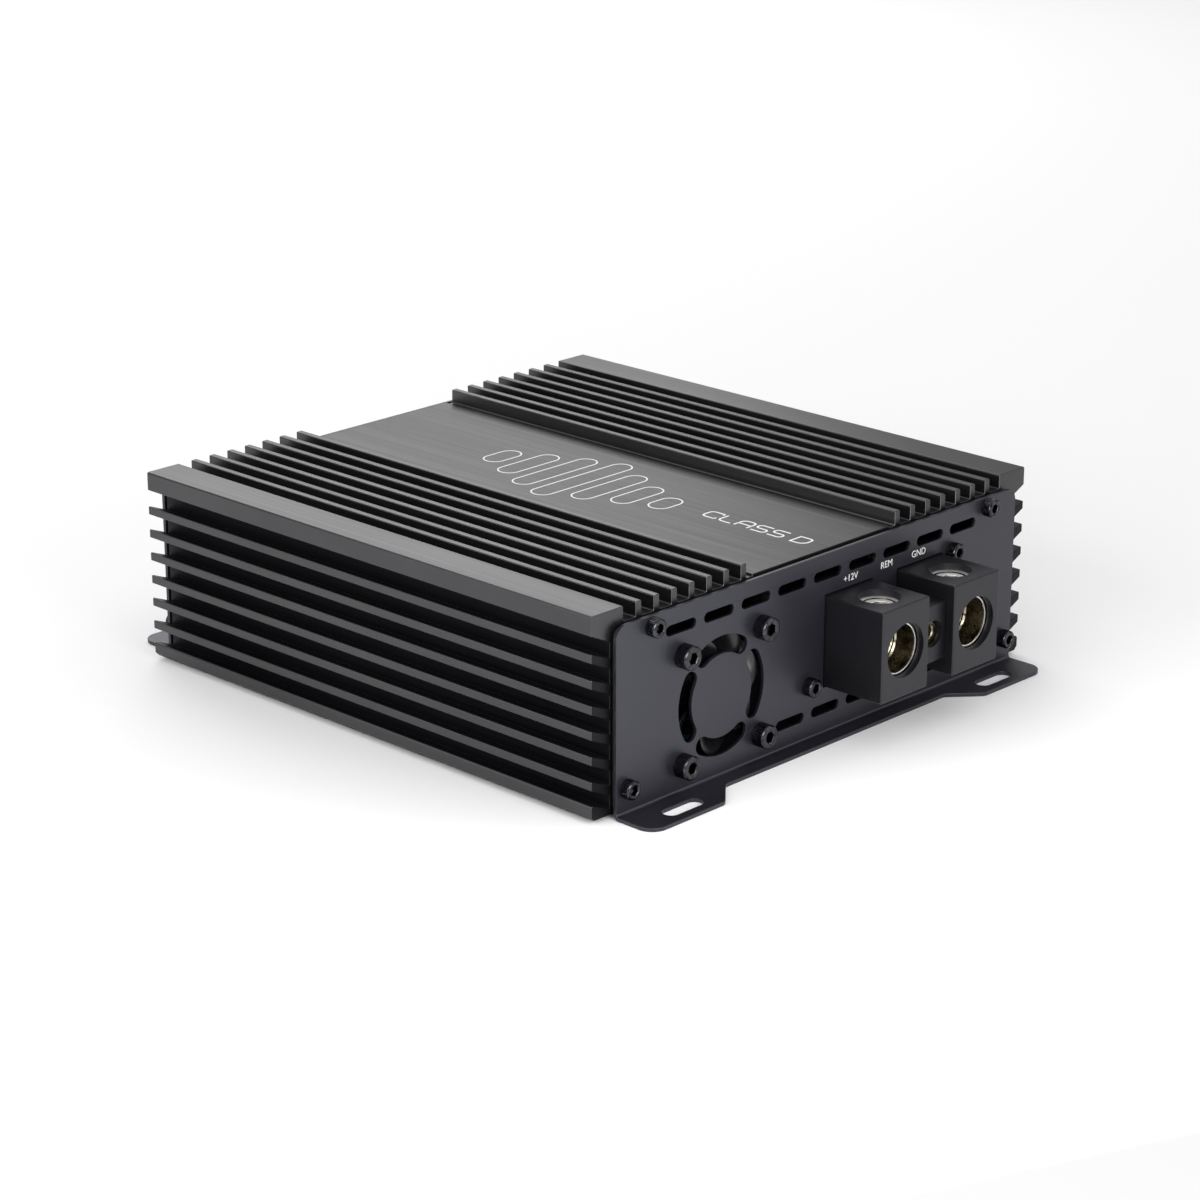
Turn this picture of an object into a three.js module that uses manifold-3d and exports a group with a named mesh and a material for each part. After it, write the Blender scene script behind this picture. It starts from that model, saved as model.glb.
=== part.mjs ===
// A mono car amplifier: a finned aluminium housing, two bent steel end panels with mounting feet, a fan and
// heavy cable terminals at one end, signal sockets and controls at the other, and a populated board inside.
//
// Millimetres. +X runs across the fins, +Y along them from the terminal end to the control end, +Z is up.
// The origin is the middle of the footprint, on the surface that the feet stand on.
import * as THREE from "three";
import { mergeVertices } from "three/addons/utils/BufferGeometryUtils.js";
import Module from "manifold-3d";

const wasm = await Module();
wasm.setup();

// ---------------------------------------------------------------- driving dimensions

// Clearances between pieces that touch, and between pieces that move
const FIT = 0.1;
const RUN = 0.3;

// Housing extrusion, in its own frame: z 0 is its underside
const HALF = 93.4;
const LENGTH = 185;
const HEIGHT = 58.5;
const WALL_X = 86.4;
const WALL_IN = 83.4;
const FLOOR_Z = 54.1;
const CEILING_Z = 49.5;

// Fins and rails on top
const TOP_FINS = 7;
const FIN_PITCH = 7;
const FIN_THICK = 2.2;
const FIN_OUTER = 76.4;
const RAIL_INNER = 81.2;
const PLATE_HALF = 29.6;
const PLATE_Z = 54.7;

// Slanted fins and rails on the sides
const SIDE_FINS = 6;
const SIDE_FIRST = 47.9;
const SIDE_PITCH = 7.26;
const SIDE_TIP = 2.6;
const SIDE_DROP = 2.8;
const SIDE_DROP_UNDER = 3.3;
const TOP_RAIL_FACE = 5.6;
const BOTTOM_RAIL_FACE = 4.7;
const RAIL_CHAMFER = 1.2;

// Groove that holds the bottom cover
const LIP_X = 83;
const GROOVE_X = 85.6;
const GROOVE_Z = [1.0, 2.8];
const COVER_Z = [1.15, 2.65];

// End panels, in an end's own frame: y 0 is the end face of the housing and -y is outward
const GASKET_T = 1.2;
const PANEL_T = 1.2;
const PANEL_HALF = 86.3;
const PANEL_TOP = 54.2;
const PANEL_CORNER = 4;
const PANEL_IN = -GASKET_T;
const PANEL_OUT = -GASKET_T - PANEL_T;
const BEND_R = 0.8;
const LIP_REACH = 7.8;
const FOOT_REACH = 16;
const FOOT_INNER = 57.4;
const FLARE_INNER = 48.2;
const FOOT_SLOT = { x: 68.4, y: -10.3, length: 14.5, width: 5 };
const VENT = { count: 9, pitch: 15.25, length: 12, width: 3, top: 47.9, bottom: 7.4 };

// Screws: head radius and height, shank radius, and the width across the socket's flats
const M3 = { head: 2.75, height: 3, shank: 1.2, flats: 2.5 };
const M4 = { head: 3.5, height: 4, shank: 1.6, flats: 3 };
const PANEL_SCREWS = [
  [-72.5, 51.1],
  [72.5, 51.1],
  [-82.2, 7.3],
  [82.2, 7.3],
];
const SCREW_LENGTH = 10;

// Cooling fan, 40 mm square
const FAN = { x: -44.3, z: 23.6, size: 40, depth: 10, holes: 32, bore: 19, hub: 9.5, blades: 7 };
const GRILLE = { inner: 12.3, outer: 17.5, bridge: 2 };

// Power terminals
const BLOCK_REACH = 21.1;
const BLOCK_WIDTH = 20.6;
const BLOCK_Z = [14.2, 41.6];
const BLOCK_X = [9.5, 41.5];
const REMOTE_Z = [19, 36.6];
const REMOTE_REACH = 18;
const CABLE_Z = 27.9;
const CABLE_MOUTH = 8;
const CABLE_BORE = 7.2;
const MOUTH_DEPTH = 2.5;
const TERMINAL_SCREWS = [
  [-7.6, 16.2],
  [56.2, 41.3],
];
const FLANGE_T = 3;

// Board and the parts on it, in the housing's frame
const BOARD_Z = [6, 7.6];
const BOARD_HALF = 78;
const PART_Z = BOARD_Z[1] + FIT;

// Signal end, x as seen from outside
const SPEAKER = { x: [30, 52], width: 40, z: [17, 37], reach: 13, bore: 4.6, mouth: 5.4 };
const RCA = { x: [-70, -54], z: 26, shell: 4.2, wall: 0.8, reach: 10 };
const KNOBS = [
  ["gain_knob", -36],
  ["low_pass_knob", -22],
  ["bass_boost_knob", -8],
];
const KNOB = { z: 26, radius: 3.2, reach: 6 };
const SWITCH = { x: -22, z: 40, travel: 4 };
const PORT = { x: 9, z: 25, width: 13, height: 12 };
const LED = { x: 71, z: [24, 31], radius: 1.5 };

// The footprint runs from the cable blocks to the rear feet
const NEAR_Y = (BLOCK_REACH - PANEL_OUT - FOOT_REACH - LENGTH) / 2;
const FAR_Y = NEAR_Y + LENGTH;

// ---------------------------------------------------------------- solids

// A closed geometry as a manifold solid with its faces pointing out.
function solid(geometry) {
  const flat = geometry.index ? geometry.toNonIndexed() : geometry;
  const bare = new THREE.BufferGeometry().setAttribute("position", flat.getAttribute("position"));
  const merged = mergeVertices(bare, 1e-4);
  const { array } = merged.index;
  const corners = [];
  for (let i = 0; i < array.length; i += 3) {
    const [a, b, c] = array.slice(i, i + 3);
    if (a !== b && b !== c && c !== a) corners.push(a, b, c);
  }
  const vertProperties = merged.attributes.position.array;
  const make = (list) =>
    new wasm.Manifold(new wasm.Mesh({ numProp: 3, vertProperties, triVerts: new Uint32Array(list) }));
  const made = make(corners);
  return made.volume() < 0 ? make(corners.reverse()) : made;
}

const join = (...solids) => solids.reduce((a, b) => a.add(b));
const cut = (body, ...tools) => tools.reduce((a, b) => a.subtract(b), body);
const extrude = (shape, depth, segments) =>
  new THREE.ExtrudeGeometry(shape, { depth, bevelEnabled: false, curveSegments: segments });

// A shape drawn in X and Y, thick from z0 to z1.
function alongZ(shape, z0, z1, segments = 6) {
  return solid(extrude(shape, z1 - z0, segments).translate(0, 0, z0));
}

// A shape drawn in X and Z, thick from y0 to y1.
function alongY(shape, y0, y1, segments = 6) {
  return solid(extrude(shape, y1 - y0, segments).rotateX(Math.PI / 2).translate(0, y1, 0));
}

// A shape drawn in Y and Z, thick from x0 to x1.
function alongX(shape, x0, x1, segments = 6) {
  const axes = [new THREE.Vector3(0, 1, 0), new THREE.Vector3(0, 0, 1), new THREE.Vector3(1, 0, 0)];
  const turn = new THREE.Matrix4().makeBasis(...axes);
  return solid(extrude(shape, x1 - x0, segments).applyMatrix4(turn).translate(x0, 0, 0));
}

// A box from its low and high limits on each axis.
function box([x0, x1], [y0, y1], [z0, z1]) {
  const g = new THREE.BoxGeometry(x1 - x0, y1 - y0, z1 - z0);
  return solid(g.translate((x0 + x1) / 2, (y0 + y1) / 2, (z0 + z1) / 2));
}

// A round bar along Y at (x, z), and one along Z at (x, y).
function barY(radius, x, z, y0, y1, sides = 24) {
  const g = new THREE.CylinderGeometry(radius, radius, y1 - y0, sides);
  return solid(g.translate(x, (y0 + y1) / 2, z));
}

function barZ(radius, x, y, z0, z1, sides = 24) {
  const g = new THREE.CylinderGeometry(radius, radius, z1 - z0, sides);
  return solid(g.rotateX(Math.PI / 2).translate(x, y, (z0 + z1) / 2));
}

// ---------------------------------------------------------------- flat shapes

// A closed outline of [x, y, corner radius] points.
function outline(points) {
  const shape = new THREE.Shape();
  points.forEach(([x, y, r = 0], i) => {
    const corner = new THREE.Vector2(x, y);
    const [before, after] = [points.at(i - 1), points[(i + 1) % points.length]].map(([px, py]) =>
      new THREE.Vector2(px, py).sub(corner).normalize().multiplyScalar(r).add(corner),
    );
    if (i === 0) shape.moveTo(before.x, before.y);
    else shape.lineTo(before.x, before.y);
    if (r > 0) shape.quadraticCurveTo(x, y, after.x, after.y);
  });
  shape.closePath();
  return shape;
}

// A rectangle from its limits, with one corner radius.
function rectangle([x0, x1], [y0, y1], r = 0) {
  return outline([
    [x0, y0, r],
    [x1, y0, r],
    [x1, y1, r],
    [x0, y1, r],
  ]);
}

// A slot with round ends, lying along the shape's first axis.
function obround(x, y, length, width) {
  const shape = new THREE.Shape();
  const reach = (length - width) / 2;
  shape.absarc(x + reach, y, width / 2, -Math.PI / 2, Math.PI / 2, false);
  shape.absarc(x - reach, y, width / 2, Math.PI / 2, (3 * Math.PI) / 2, false);
  shape.closePath();
  return shape;
}

// A slot with round ends, bent round (x, y) and centred on the angle turn.
function arcSlot(x, y, inner, outer, half, turn) {
  const shape = new THREE.Shape();
  const middle = (inner + outer) / 2;
  const end = (outer - inner) / 2;
  const [from, to] = [turn - half, turn + half];
  shape.absarc(x, y, outer, from, to, false);
  shape.absarc(x + middle * Math.cos(to), y + middle * Math.sin(to), end, to, to + Math.PI, false);
  shape.absarc(x, y, inner, to, from, true);
  const back = from + Math.PI;
  shape.absarc(x + middle * Math.cos(from), y + middle * Math.sin(from), end, back, back + Math.PI, false);
  shape.closePath();
  return shape;
}

// ---------------------------------------------------------------- materials and scene

const finish = (color, roughness, metalness) =>
  new THREE.MeshStandardMaterial({ color, roughness, metalness });
const ANODISED = () => finish(0x2c2c2e, 0.42, 0.8);
const PAINT = () => finish(0x2a2a30, 0.5, 0.2);
const BLACK_STEEL = () => finish(0x17171a, 0.3, 0.8);
const BLACK_PLASTIC = () => finish(0x232327, 0.55, 0);
const GLOSS_PLASTIC = () => finish(0x101012, 0.25, 0);
const RUBBER = () => finish(0x08080a, 0.9, 0);
const NICKEL = () => finish(0xc8c2b0, 0.25, 1);
const BRASS = () => finish(0xb8963f, 0.3, 1);
const BOARD_GREEN = () => finish(0x12402a, 0.5, 0);
const COPPER = () => finish(0xa8602c, 0.4, 0.9);
const ALUMINIUM = () => finish(0xb9bbbe, 0.4, 1);
const LENS = (color) => finish(color, 0.2, 0);

const amplifier = new THREE.Group();
const housing = new THREE.Group();
const terminalEnd = new THREE.Group();
const controlEnd = new THREE.Group();
housing.position.set(0, 0, PANEL_T);
terminalEnd.position.set(0, NEAR_Y, PANEL_T);
controlEnd.position.set(0, FAR_Y, PANEL_T);
controlEnd.rotation.z = Math.PI;
amplifier.add(housing, terminalEnd, controlEnd);

// Puts a solid into a group as one named mesh.
function place(group, name, manifold, material, at = [0, 0, 0]) {
  const { vertProperties, triVerts } = manifold.getMesh();
  const geometry = new THREE.BufferGeometry()
    .setAttribute("position", new THREE.BufferAttribute(new Float32Array(vertProperties), 3))
    .setIndex(new THREE.BufferAttribute(new Uint32Array(triVerts), 1));
  geometry.computeVertexNormals();
  const mesh = new THREE.Mesh(geometry, material);
  mesh.name = name;
  mesh.position.set(...at);
  group.add(mesh);
}

// ---------------------------------------------------------------- housing

// The housing's right half in X and Z, from the middle of the top plate round to the middle of the ceiling.
function housingHalf() {
  const points = [
    [0, PLATE_Z],
    [PLATE_HALF, PLATE_Z],
    [PLATE_HALF, FLOOR_Z],
  ];
  for (let i = TOP_FINS - 1; i >= 0; i--) {
    const right = FIN_OUTER - i * FIN_PITCH;
    const left = right - FIN_THICK;
    points.push([left, FLOOR_Z], [left, HEIGHT], [right, HEIGHT], [right, FLOOR_Z]);
  }
  const railUnder = HEIGHT - TOP_RAIL_FACE;
  points.push([RAIL_INNER, FLOOR_Z], [RAIL_INNER, HEIGHT], [HALF, HEIGHT]);
  points.push([HALF, railUnder], [WALL_X, railUnder - SIDE_DROP_UNDER]);
  for (let i = 0; i < SIDE_FINS; i++) {
    const top = SIDE_FIRST - i * SIDE_PITCH;
    const under = top - SIDE_TIP;
    points.push([WALL_X, top - SIDE_DROP], [HALF, top], [HALF, under], [WALL_X, under - SIDE_DROP_UNDER]);
  }
  points.push([WALL_X, BOTTOM_RAIL_FACE - SIDE_DROP], [HALF, BOTTOM_RAIL_FACE]);
  points.push([HALF, RAIL_CHAMFER], [HALF - RAIL_CHAMFER, 0], [LIP_X, 0], [LIP_X, GROOVE_Z[0]]);
  points.push([GROOVE_X, GROOVE_Z[0]], [GROOVE_X, GROOVE_Z[1]]);
  const [bossIn, bossTop] = [78.7, 10.8];
  points.push([bossIn, GROOVE_Z[1]], [bossIn, bossTop], [WALL_IN, bossTop], [WALL_IN, CEILING_Z]);
  const [screwX] = PANEL_SCREWS[1];
  const [ribHalf, ribZ] = [3.5, 47.7];
  points.push([screwX + ribHalf, CEILING_Z], [screwX + ribHalf, ribZ], [screwX - ribHalf, ribZ]);
  points.push([screwX - ribHalf, CEILING_Z], [0, CEILING_Z]);
  return points;
}

function makeHousing() {
  const right = housingHalf();
  const left = right.slice(1, -1).map(([x, z]) => [-x, z]);
  const section = outline([...right, ...left.reverse()]);
  const hole = M3.shank + RUN;
  const holes = PANEL_SCREWS.flatMap(([x, z]) => [
    barY(hole, x, z, NEAR_Y - 1, NEAR_Y + SCREW_LENGTH + 1, 12),
    barY(hole, x, z, FAR_Y - SCREW_LENGTH - 1, FAR_Y + 1, 12),
  ]);
  place(housing, "heatsink_housing", cut(alongY(section, NEAR_Y, FAR_Y), ...holes), ANODISED());

  const edge = GROOVE_X - RUN;
  const cover = box([-edge, edge], [NEAR_Y + FIT, FAR_Y - FIT], COVER_Z);
  place(housing, "bottom_cover", cover, PAINT());
}

// ---------------------------------------------------------------- screws

// A socket-head cap screw along Y: its head reaches out to -height and its shank in to length.
function capScrew({ head, height, shank, flats }, length) {
  const chamfer = 0.45;
  const profile = [
    [0, -height],
    [head - chamfer, -height],
    [head, chamfer - height],
    [head, 0],
    [shank, 0],
    [shank, length],
    [0, length],
  ].map(([r, y]) => new THREE.Vector2(r, y));
  const body = solid(new THREE.LatheGeometry(profile, 20));
  const socket = barY(flats / Math.sqrt(3), 0, 0, -height - 1, -height * 0.4, 6);
  return cut(body, socket);
}

function makePanelScrews(group, prefix) {
  const places = ["upper_left", "upper_right", "lower_left", "lower_right"];
  PANEL_SCREWS.forEach(([x, z], i) => {
    const screw = capScrew(M3, SCREW_LENGTH - PANEL_OUT);
    place(group, `${prefix}_screw_${places[i]}`, screw, BLACK_STEEL(), [x, PANEL_OUT - FIT, z]);
  });
}

// ---------------------------------------------------------------- end panels

// The sheet-metal panel: a plate with rounded top corners, bent out into a lip with a slotted foot at each corner.
function bentPanel() {
  const profile = new THREE.Shape();
  const outerR = BEND_R + PANEL_T;
  profile.moveTo(PANEL_IN, PANEL_TOP);
  profile.lineTo(PANEL_OUT, PANEL_TOP);
  profile.lineTo(PANEL_OUT, BEND_R);
  profile.absarc(PANEL_OUT - BEND_R, BEND_R, BEND_R, 0, -Math.PI / 2, true);
  profile.lineTo(-FOOT_REACH, 0);
  profile.lineTo(-FOOT_REACH, -PANEL_T);
  profile.absarc(PANEL_IN - outerR, outerR - PANEL_T, outerR, -Math.PI / 2, 0, false);
  profile.closePath();
  const sheet = alongX(profile, -PANEL_HALF, PANEL_HALF, 5);

  const face = outline([
    [-PANEL_HALF, -PANEL_T - 1],
    [PANEL_HALF, -PANEL_T - 1],
    [PANEL_HALF, PANEL_TOP, PANEL_CORNER],
    [-PANEL_HALF, PANEL_TOP, PANEL_CORNER],
  ]);
  const plan = outline([
    [PANEL_HALF, 1],
    [-PANEL_HALF, 1],
    [-PANEL_HALF, -FOOT_REACH, 6],
    [-FOOT_INNER, -FOOT_REACH, 2.5],
    [-FLARE_INNER, -LIP_REACH, 2],
    [FLARE_INNER, -LIP_REACH, 2],
    [FOOT_INNER, -FOOT_REACH, 2.5],
    [PANEL_HALF, -FOOT_REACH, 6],
  ]);
  const { x, y, length, width } = FOOT_SLOT;
  const slots = [-x, x].map((sx) => alongZ(obround(sx, y, length, width), -PANEL_T - 1, 1));
  return cut(
    sheet.intersect(alongY(face, -FOOT_REACH - 1, 1)).intersect(alongZ(plan, -PANEL_T - 1, PANEL_TOP + 1)),
    ...slots,
  );
}

// A cut right through the panel for any shape drawn in X and Z.
const through = (shape, segments = 6) => alongY(shape, PANEL_OUT - 1, PANEL_IN + 1, segments);
const drill = (radius, x, z, sides = 20) => barY(radius, x, z, PANEL_OUT - 1, PANEL_IN + 1, sides);

// The centre of vent slot number i along the panel.
const ventX = (i) => (i - (VENT.count - 1) / 2) * VENT.pitch;

function vents(z, from = 0, to = VENT.count) {
  const cuts = [];
  for (let i = from; i < to; i++) cuts.push(through(obround(ventX(i), z, VENT.length, VENT.width)));
  return cuts;
}

const screwHoles = () => PANEL_SCREWS.map(([x, z]) => drill(M3.shank + RUN, x, z, 12));

// The thin seal between a panel and the housing, set in from the panel's edges and clear of its vents.
function makeGasket(group, name) {
  const inset = 1;
  const seal = rectangle([-PANEL_HALF + inset, PANEL_HALF - inset], [0.3, PANEL_TOP - inset], 3);
  const [side, low, high, shelf, step] = [83.2, 3, 49.7, 11, 78.5];
  const [ribX, ribZ] = [68.5, 47.4];
  const inside = outline([
    [-step, low],
    [step, low],
    [step, shelf],
    [side, shelf],
    [side, ribZ],
    [ribX, ribZ],
    [ribX, high],
    [-ribX, high],
    [-ribX, ribZ],
    [-side, ribZ],
    [-side, shelf],
    [-step, shelf],
  ]);
  const [back, front] = [PANEL_IN + FIT, -FIT];
  const holes = PANEL_SCREWS.map(([x, z]) => barY(M3.shank + RUN, x, z, back - 1, front + 1, 12));
  const ring = cut(alongY(seal, back, front), alongY(inside, back - 1, front + 1), ...holes);
  place(group, name, ring, RUBBER());
}

// ---------------------------------------------------------------- fan

const fanHoles = () => [
  [FAN.x - FAN.holes / 2, FAN.z + FAN.holes / 2],
  [FAN.x + FAN.holes / 2, FAN.z + FAN.holes / 2],
  [FAN.x - FAN.holes / 2, FAN.z - FAN.holes / 2],
  [FAN.x + FAN.holes / 2, FAN.z - FAN.holes / 2],
];

const FAN_Y = PANEL_IN + FIT;

function makeFan() {
  const half = FAN.size / 2;
  const back = FAN_Y + FAN.depth;
  const square = rectangle([FAN.x - half, FAN.x + half], [FAN.z - half, FAN.z + half], 2.5);
  const strutT = 1.5;
  const motorR = FAN.hub - 1;
  const holes = fanHoles().map(([x, z]) => barY(M4.shank + RUN, x, z, FAN_Y - 1, back + 1, 12));
  const ring = cut(alongY(square, FAN_Y, back), barY(FAN.bore, FAN.x, FAN.z, FAN_Y - 1, back + 1, 36));
  const struts = [0, 1].map((i) => {
    const bar = box([-FAN.bore - 0.5, FAN.bore + 0.5], [back - strutT, back], [-1.2, 1.2]);
    return bar.rotate([0, 45 + 90 * i, 0]).translate([FAN.x, 0, FAN.z]);
  });
  const motor = barY(motorR, FAN.x, FAN.z, back - strutT, back, 24);
  const spindle = barY(1.2, FAN.x, FAN.z, back - 6, back - 1, 12);
  place(terminalEnd, "fan_frame", cut(join(ring, ...struts, motor, spindle), ...holes), BLACK_PLASTIC());

  // The rotor turns on the spindle, in front of the struts
  const [rotorFront, rotorBack] = [FAN_Y + 0.8, back - strutT - 0.6];
  const tip = FAN.bore - 0.7;
  const wings = Array.from({ length: FAN.blades }, (_, i) => {
    const [root, chord, thick] = [FAN.hub - 1, 8.4, 0.9];
    const wing = box([root, tip], [-thick / 2, thick / 2], [-chord / 2, chord / 2]);
    const middle = (rotorFront + rotorBack) / 2;
    return wing.rotate([38, 0, 0]).rotate([0, (360 / FAN.blades) * i, 0]).translate([FAN.x, middle, FAN.z]);
  });
  const hub = barY(FAN.hub, FAN.x, FAN.z, rotorFront, rotorBack, 28);
  const socket = barY(1.2 + RUN, FAN.x, FAN.z, back - 6 - RUN, back, 12);
  place(terminalEnd, "fan_rotor", cut(join(hub, ...wings), socket), GLOSS_PLASTIC());

  fanHoles().forEach(([x, z], i) => {
    const screw = capScrew(M4, FAN.depth - PANEL_OUT + 2);
    place(terminalEnd, `fan_screw_${i + 1}`, screw, BLACK_STEEL(), [x, PANEL_OUT - FIT, z]);
  });
}

// ---------------------------------------------------------------- power terminals

const BLOCK_FRONT = PANEL_OUT - BLOCK_REACH;
const REMOTE_X = (BLOCK_X[0] + BLOCK_X[1]) / 2;
const blockSpan = (x) => [x - BLOCK_WIDTH / 2, x + BLOCK_WIDTH / 2];

// The blocks' outline in X and Z: two tall cable blocks with the low remote block between them.
function blockOutline(grow) {
  const [left] = blockSpan(BLOCK_X[0]);
  const [, innerLeft] = blockSpan(BLOCK_X[0]);
  const [innerRight, right] = blockSpan(BLOCK_X[1]);
  const [low, high] = [BLOCK_Z[0] - grow, BLOCK_Z[1] + grow];
  const [lowMid, highMid] = [REMOTE_Z[0] - grow, REMOTE_Z[1] + grow];
  return outline([
    [left - grow, low],
    [innerLeft + grow, low],
    [innerLeft + grow, lowMid],
    [innerRight - grow, lowMid],
    [innerRight - grow, low],
    [right + grow, low],
    [right + grow, high],
    [innerRight - grow, high],
    [innerRight - grow, highMid],
    [innerLeft + grow, highMid],
    [innerLeft + grow, high],
    [left - grow, high],
  ]);
}

// Metal clamps inside the blocks. Each is a block with a cable bore along Y and a threaded hole from above.
const CLAMP = { half: 8.9, top: 39.4, low: 18.6, depth: 15, screw: 5, screwTop: 39.2, screwLength: 5 };
const CLAMP_FRONT = BLOCK_FRONT + MOUTH_DEPTH;
const CLAMP_BACK = CLAMP_FRONT + CLAMP.depth;
const SCREW_Y = (CLAMP_FRONT + CLAMP_BACK) / 2;
const TAIL = { half: 5, z: [16.6, 18.6], reach: 20 };
const REMOTE = { bore: 2.2, half: 3.4, mouth: 4, screw: 1.5, top: 33, low: 22.5, depth: 10 };
const REMOTE_FRONT = PANEL_OUT - REMOTE_REACH;
const REMOTE_CLAMP = [REMOTE_FRONT + 2, REMOTE_FRONT + 2 + REMOTE.depth];
const REMOTE_SCREW_Y = (REMOTE_CLAMP[0] + REMOTE_CLAMP[1]) / 2;

// A threaded set screw standing on Z, its top at z 0, with a hex socket.
function setScrew(radius, length, flats) {
  const edge = radius * 0.12;
  const profile = [
    [0, -length],
    [radius * 0.6, -length],
    [radius, -length + radius * 0.4],
    [radius, -edge],
    [radius - edge, 0],
    [0, 0],
  ].map(([r, y]) => new THREE.Vector2(r, y));
  const body = solid(new THREE.LatheGeometry(profile, 24).rotateX(Math.PI / 2));
  return cut(body, barZ(flats / Math.sqrt(3), 0, 0, -length * 0.55, 1, 6));
}

function makePowerTerminals() {
  const flangeY = [PANEL_IN + FIT, PANEL_IN + FIT + FLANGE_T];
  const front = alongY(blockOutline(0), BLOCK_FRONT, flangeY[1]);
  const shorten = box(
    [blockSpan(BLOCK_X[0])[1], blockSpan(BLOCK_X[1])[0]],
    [BLOCK_FRONT - 1, REMOTE_FRONT],
    [REMOTE_Z[0] - 1, REMOTE_Z[1] + 1],
  );
  const ear = 4.5;
  const flange = box(
    [TERMINAL_SCREWS[0][0] - ear, TERMINAL_SCREWS[1][0] + ear],
    flangeY,
    [TERMINAL_SCREWS[0][1] - ear, TERMINAL_SCREWS[1][1] + ear],
  );
  const pockets = BLOCK_X.flatMap((x) => [
    barY(CABLE_MOUTH, x, CABLE_Z, BLOCK_FRONT - 1, CLAMP_FRONT + 0.1, 32),
    box(
      [x - CLAMP.half - RUN, x + CLAMP.half + RUN],
      [CLAMP_FRONT - RUN, flangeY[1] + 1],
      [TAIL.z[0] - RUN, CLAMP.top + RUN],
    ),
    barZ(6.25, x, SCREW_Y, CLAMP.top, BLOCK_Z[1] + 1, 28),
  ]);
  const remotePocket = [
    barY(REMOTE.mouth, REMOTE_X, CABLE_Z, REMOTE_FRONT - 1, REMOTE_CLAMP[0], 20),
    box(
      [REMOTE_X - REMOTE.half - RUN, REMOTE_X + REMOTE.half + RUN],
      [REMOTE_CLAMP[0] - RUN, flangeY[1] + 1],
      [REMOTE.low - RUN, REMOTE.top + RUN],
    ),
    barZ(REMOTE.screw + RUN, REMOTE_X, REMOTE_SCREW_Y, REMOTE.top, REMOTE_Z[1] + 1, 16),
  ];
  const screwHole = TERMINAL_SCREWS.map(([x, z]) => barY(M3.shank + RUN, x, z, -4, 6, 12));
  const body = cut(join(cut(front, shorten), flange), ...pockets, ...remotePocket, ...screwHole);
  place(terminalEnd, "power_terminal_housing", body, BLACK_PLASTIC());

  ["positive", "ground"].forEach((name, i) => {
    const x = BLOCK_X[i];
    const block = box([x - CLAMP.half, x + CLAMP.half], [CLAMP_FRONT, CLAMP_BACK], [CLAMP.low, CLAMP.top]);
    const tail = box([x - TAIL.half, x + TAIL.half], [CLAMP_BACK - 4, TAIL.reach], TAIL.z);
    const foot = box([x - TAIL.half, x + TAIL.half], [TAIL.reach - 2, TAIL.reach], [PART_Z, TAIL.z[1]]);
    const neck = box([x - TAIL.half, x + TAIL.half], [CLAMP_BACK - 4, CLAMP_BACK], [TAIL.z[0], CLAMP.low + 1]);
    const bore = barY(CABLE_BORE, x, CABLE_Z, CLAMP_FRONT - 1, CLAMP_BACK - 1.5, 32);
    const thread = barZ(CLAMP.screw + RUN, x, SCREW_Y, CABLE_Z, CLAMP.top + 1, 28);
    const clamp = cut(join(block, neck, tail, foot), bore, thread);
    place(terminalEnd, `${name}_clamp`, clamp, NICKEL());
    const screw = setScrew(CLAMP.screw, CLAMP.screwLength, 5);
    place(terminalEnd, `${name}_set_screw`, screw, NICKEL(), [x, SCREW_Y, CLAMP.screwTop]);
  });

  const { half, low, top, bore, screw } = REMOTE;
  const small = box([REMOTE_X - half, REMOTE_X + half], REMOTE_CLAMP, [low, top]);
  const lead = box([REMOTE_X - 1, REMOTE_X + 1], [REMOTE_CLAMP[1] - 1, TAIL.reach], [low, low + 1.6]);
  const leadFoot = box([REMOTE_X - 1, REMOTE_X + 1], [TAIL.reach - 2, TAIL.reach], [PART_Z, low + 1]);
  const wireBore = barY(bore, REMOTE_X, CABLE_Z, REMOTE_CLAMP[0] - 1, REMOTE_CLAMP[1] - 1, 20);
  const threadHole = barZ(screw + RUN, REMOTE_X, REMOTE_SCREW_Y, CABLE_Z, top + 1, 16);
  place(terminalEnd, "remote_clamp", cut(join(small, lead, leadFoot), wireBore, threadHole), NICKEL());
  const remoteScrew = setScrew(screw, 4.2, 1.3);
  place(terminalEnd, "remote_set_screw", remoteScrew, NICKEL(), [REMOTE_X, REMOTE_SCREW_Y, top + 0.5]);

  ["lower", "upper"].forEach((name, i) => {
    const [x, z] = TERMINAL_SCREWS[i];
    const fixing = capScrew(M3, 5.5);
    place(terminalEnd, `terminal_screw_${name}`, fixing, BLACK_STEEL(), [x, PANEL_OUT - FIT, z]);
  });
}

function makeTerminalPanel() {
  const turns = [0, 1, 2, 3].map((i) => (i * Math.PI) / 2);
  const middle = (GRILLE.inner + GRILLE.outer) / 2;
  const endR = (GRILLE.outer - GRILLE.inner) / 2;
  const half = Math.PI / 4 - (GRILLE.bridge / 2 + endR) / middle;
  const grille = turns.map((turn) =>
    through(arcSlot(FAN.x, FAN.z, GRILLE.inner, GRILLE.outer, half, turn), 8),
  );
  const fan = fanHoles().map(([x, z]) => drill(M4.shank + RUN, x, z, 16));
  const fixings = TERMINAL_SCREWS.map(([x, z]) => drill(M3.shank + RUN, x, z, 12));
  const window = through(blockOutline(RUN));
  // The lower row starts clear of the fan and stops short of the right-hand screw
  const lowerRow = vents(VENT.bottom, 3, VENT.count);
  const holes = [...grille, ...fan, ...fixings, ...vents(VENT.top), ...lowerRow, ...screwHoles()];
  place(terminalEnd, "terminal_end_panel", cut(bentPanel(), window, ...holes), PAINT());
}

// ---------------------------------------------------------------- signal end

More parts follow.
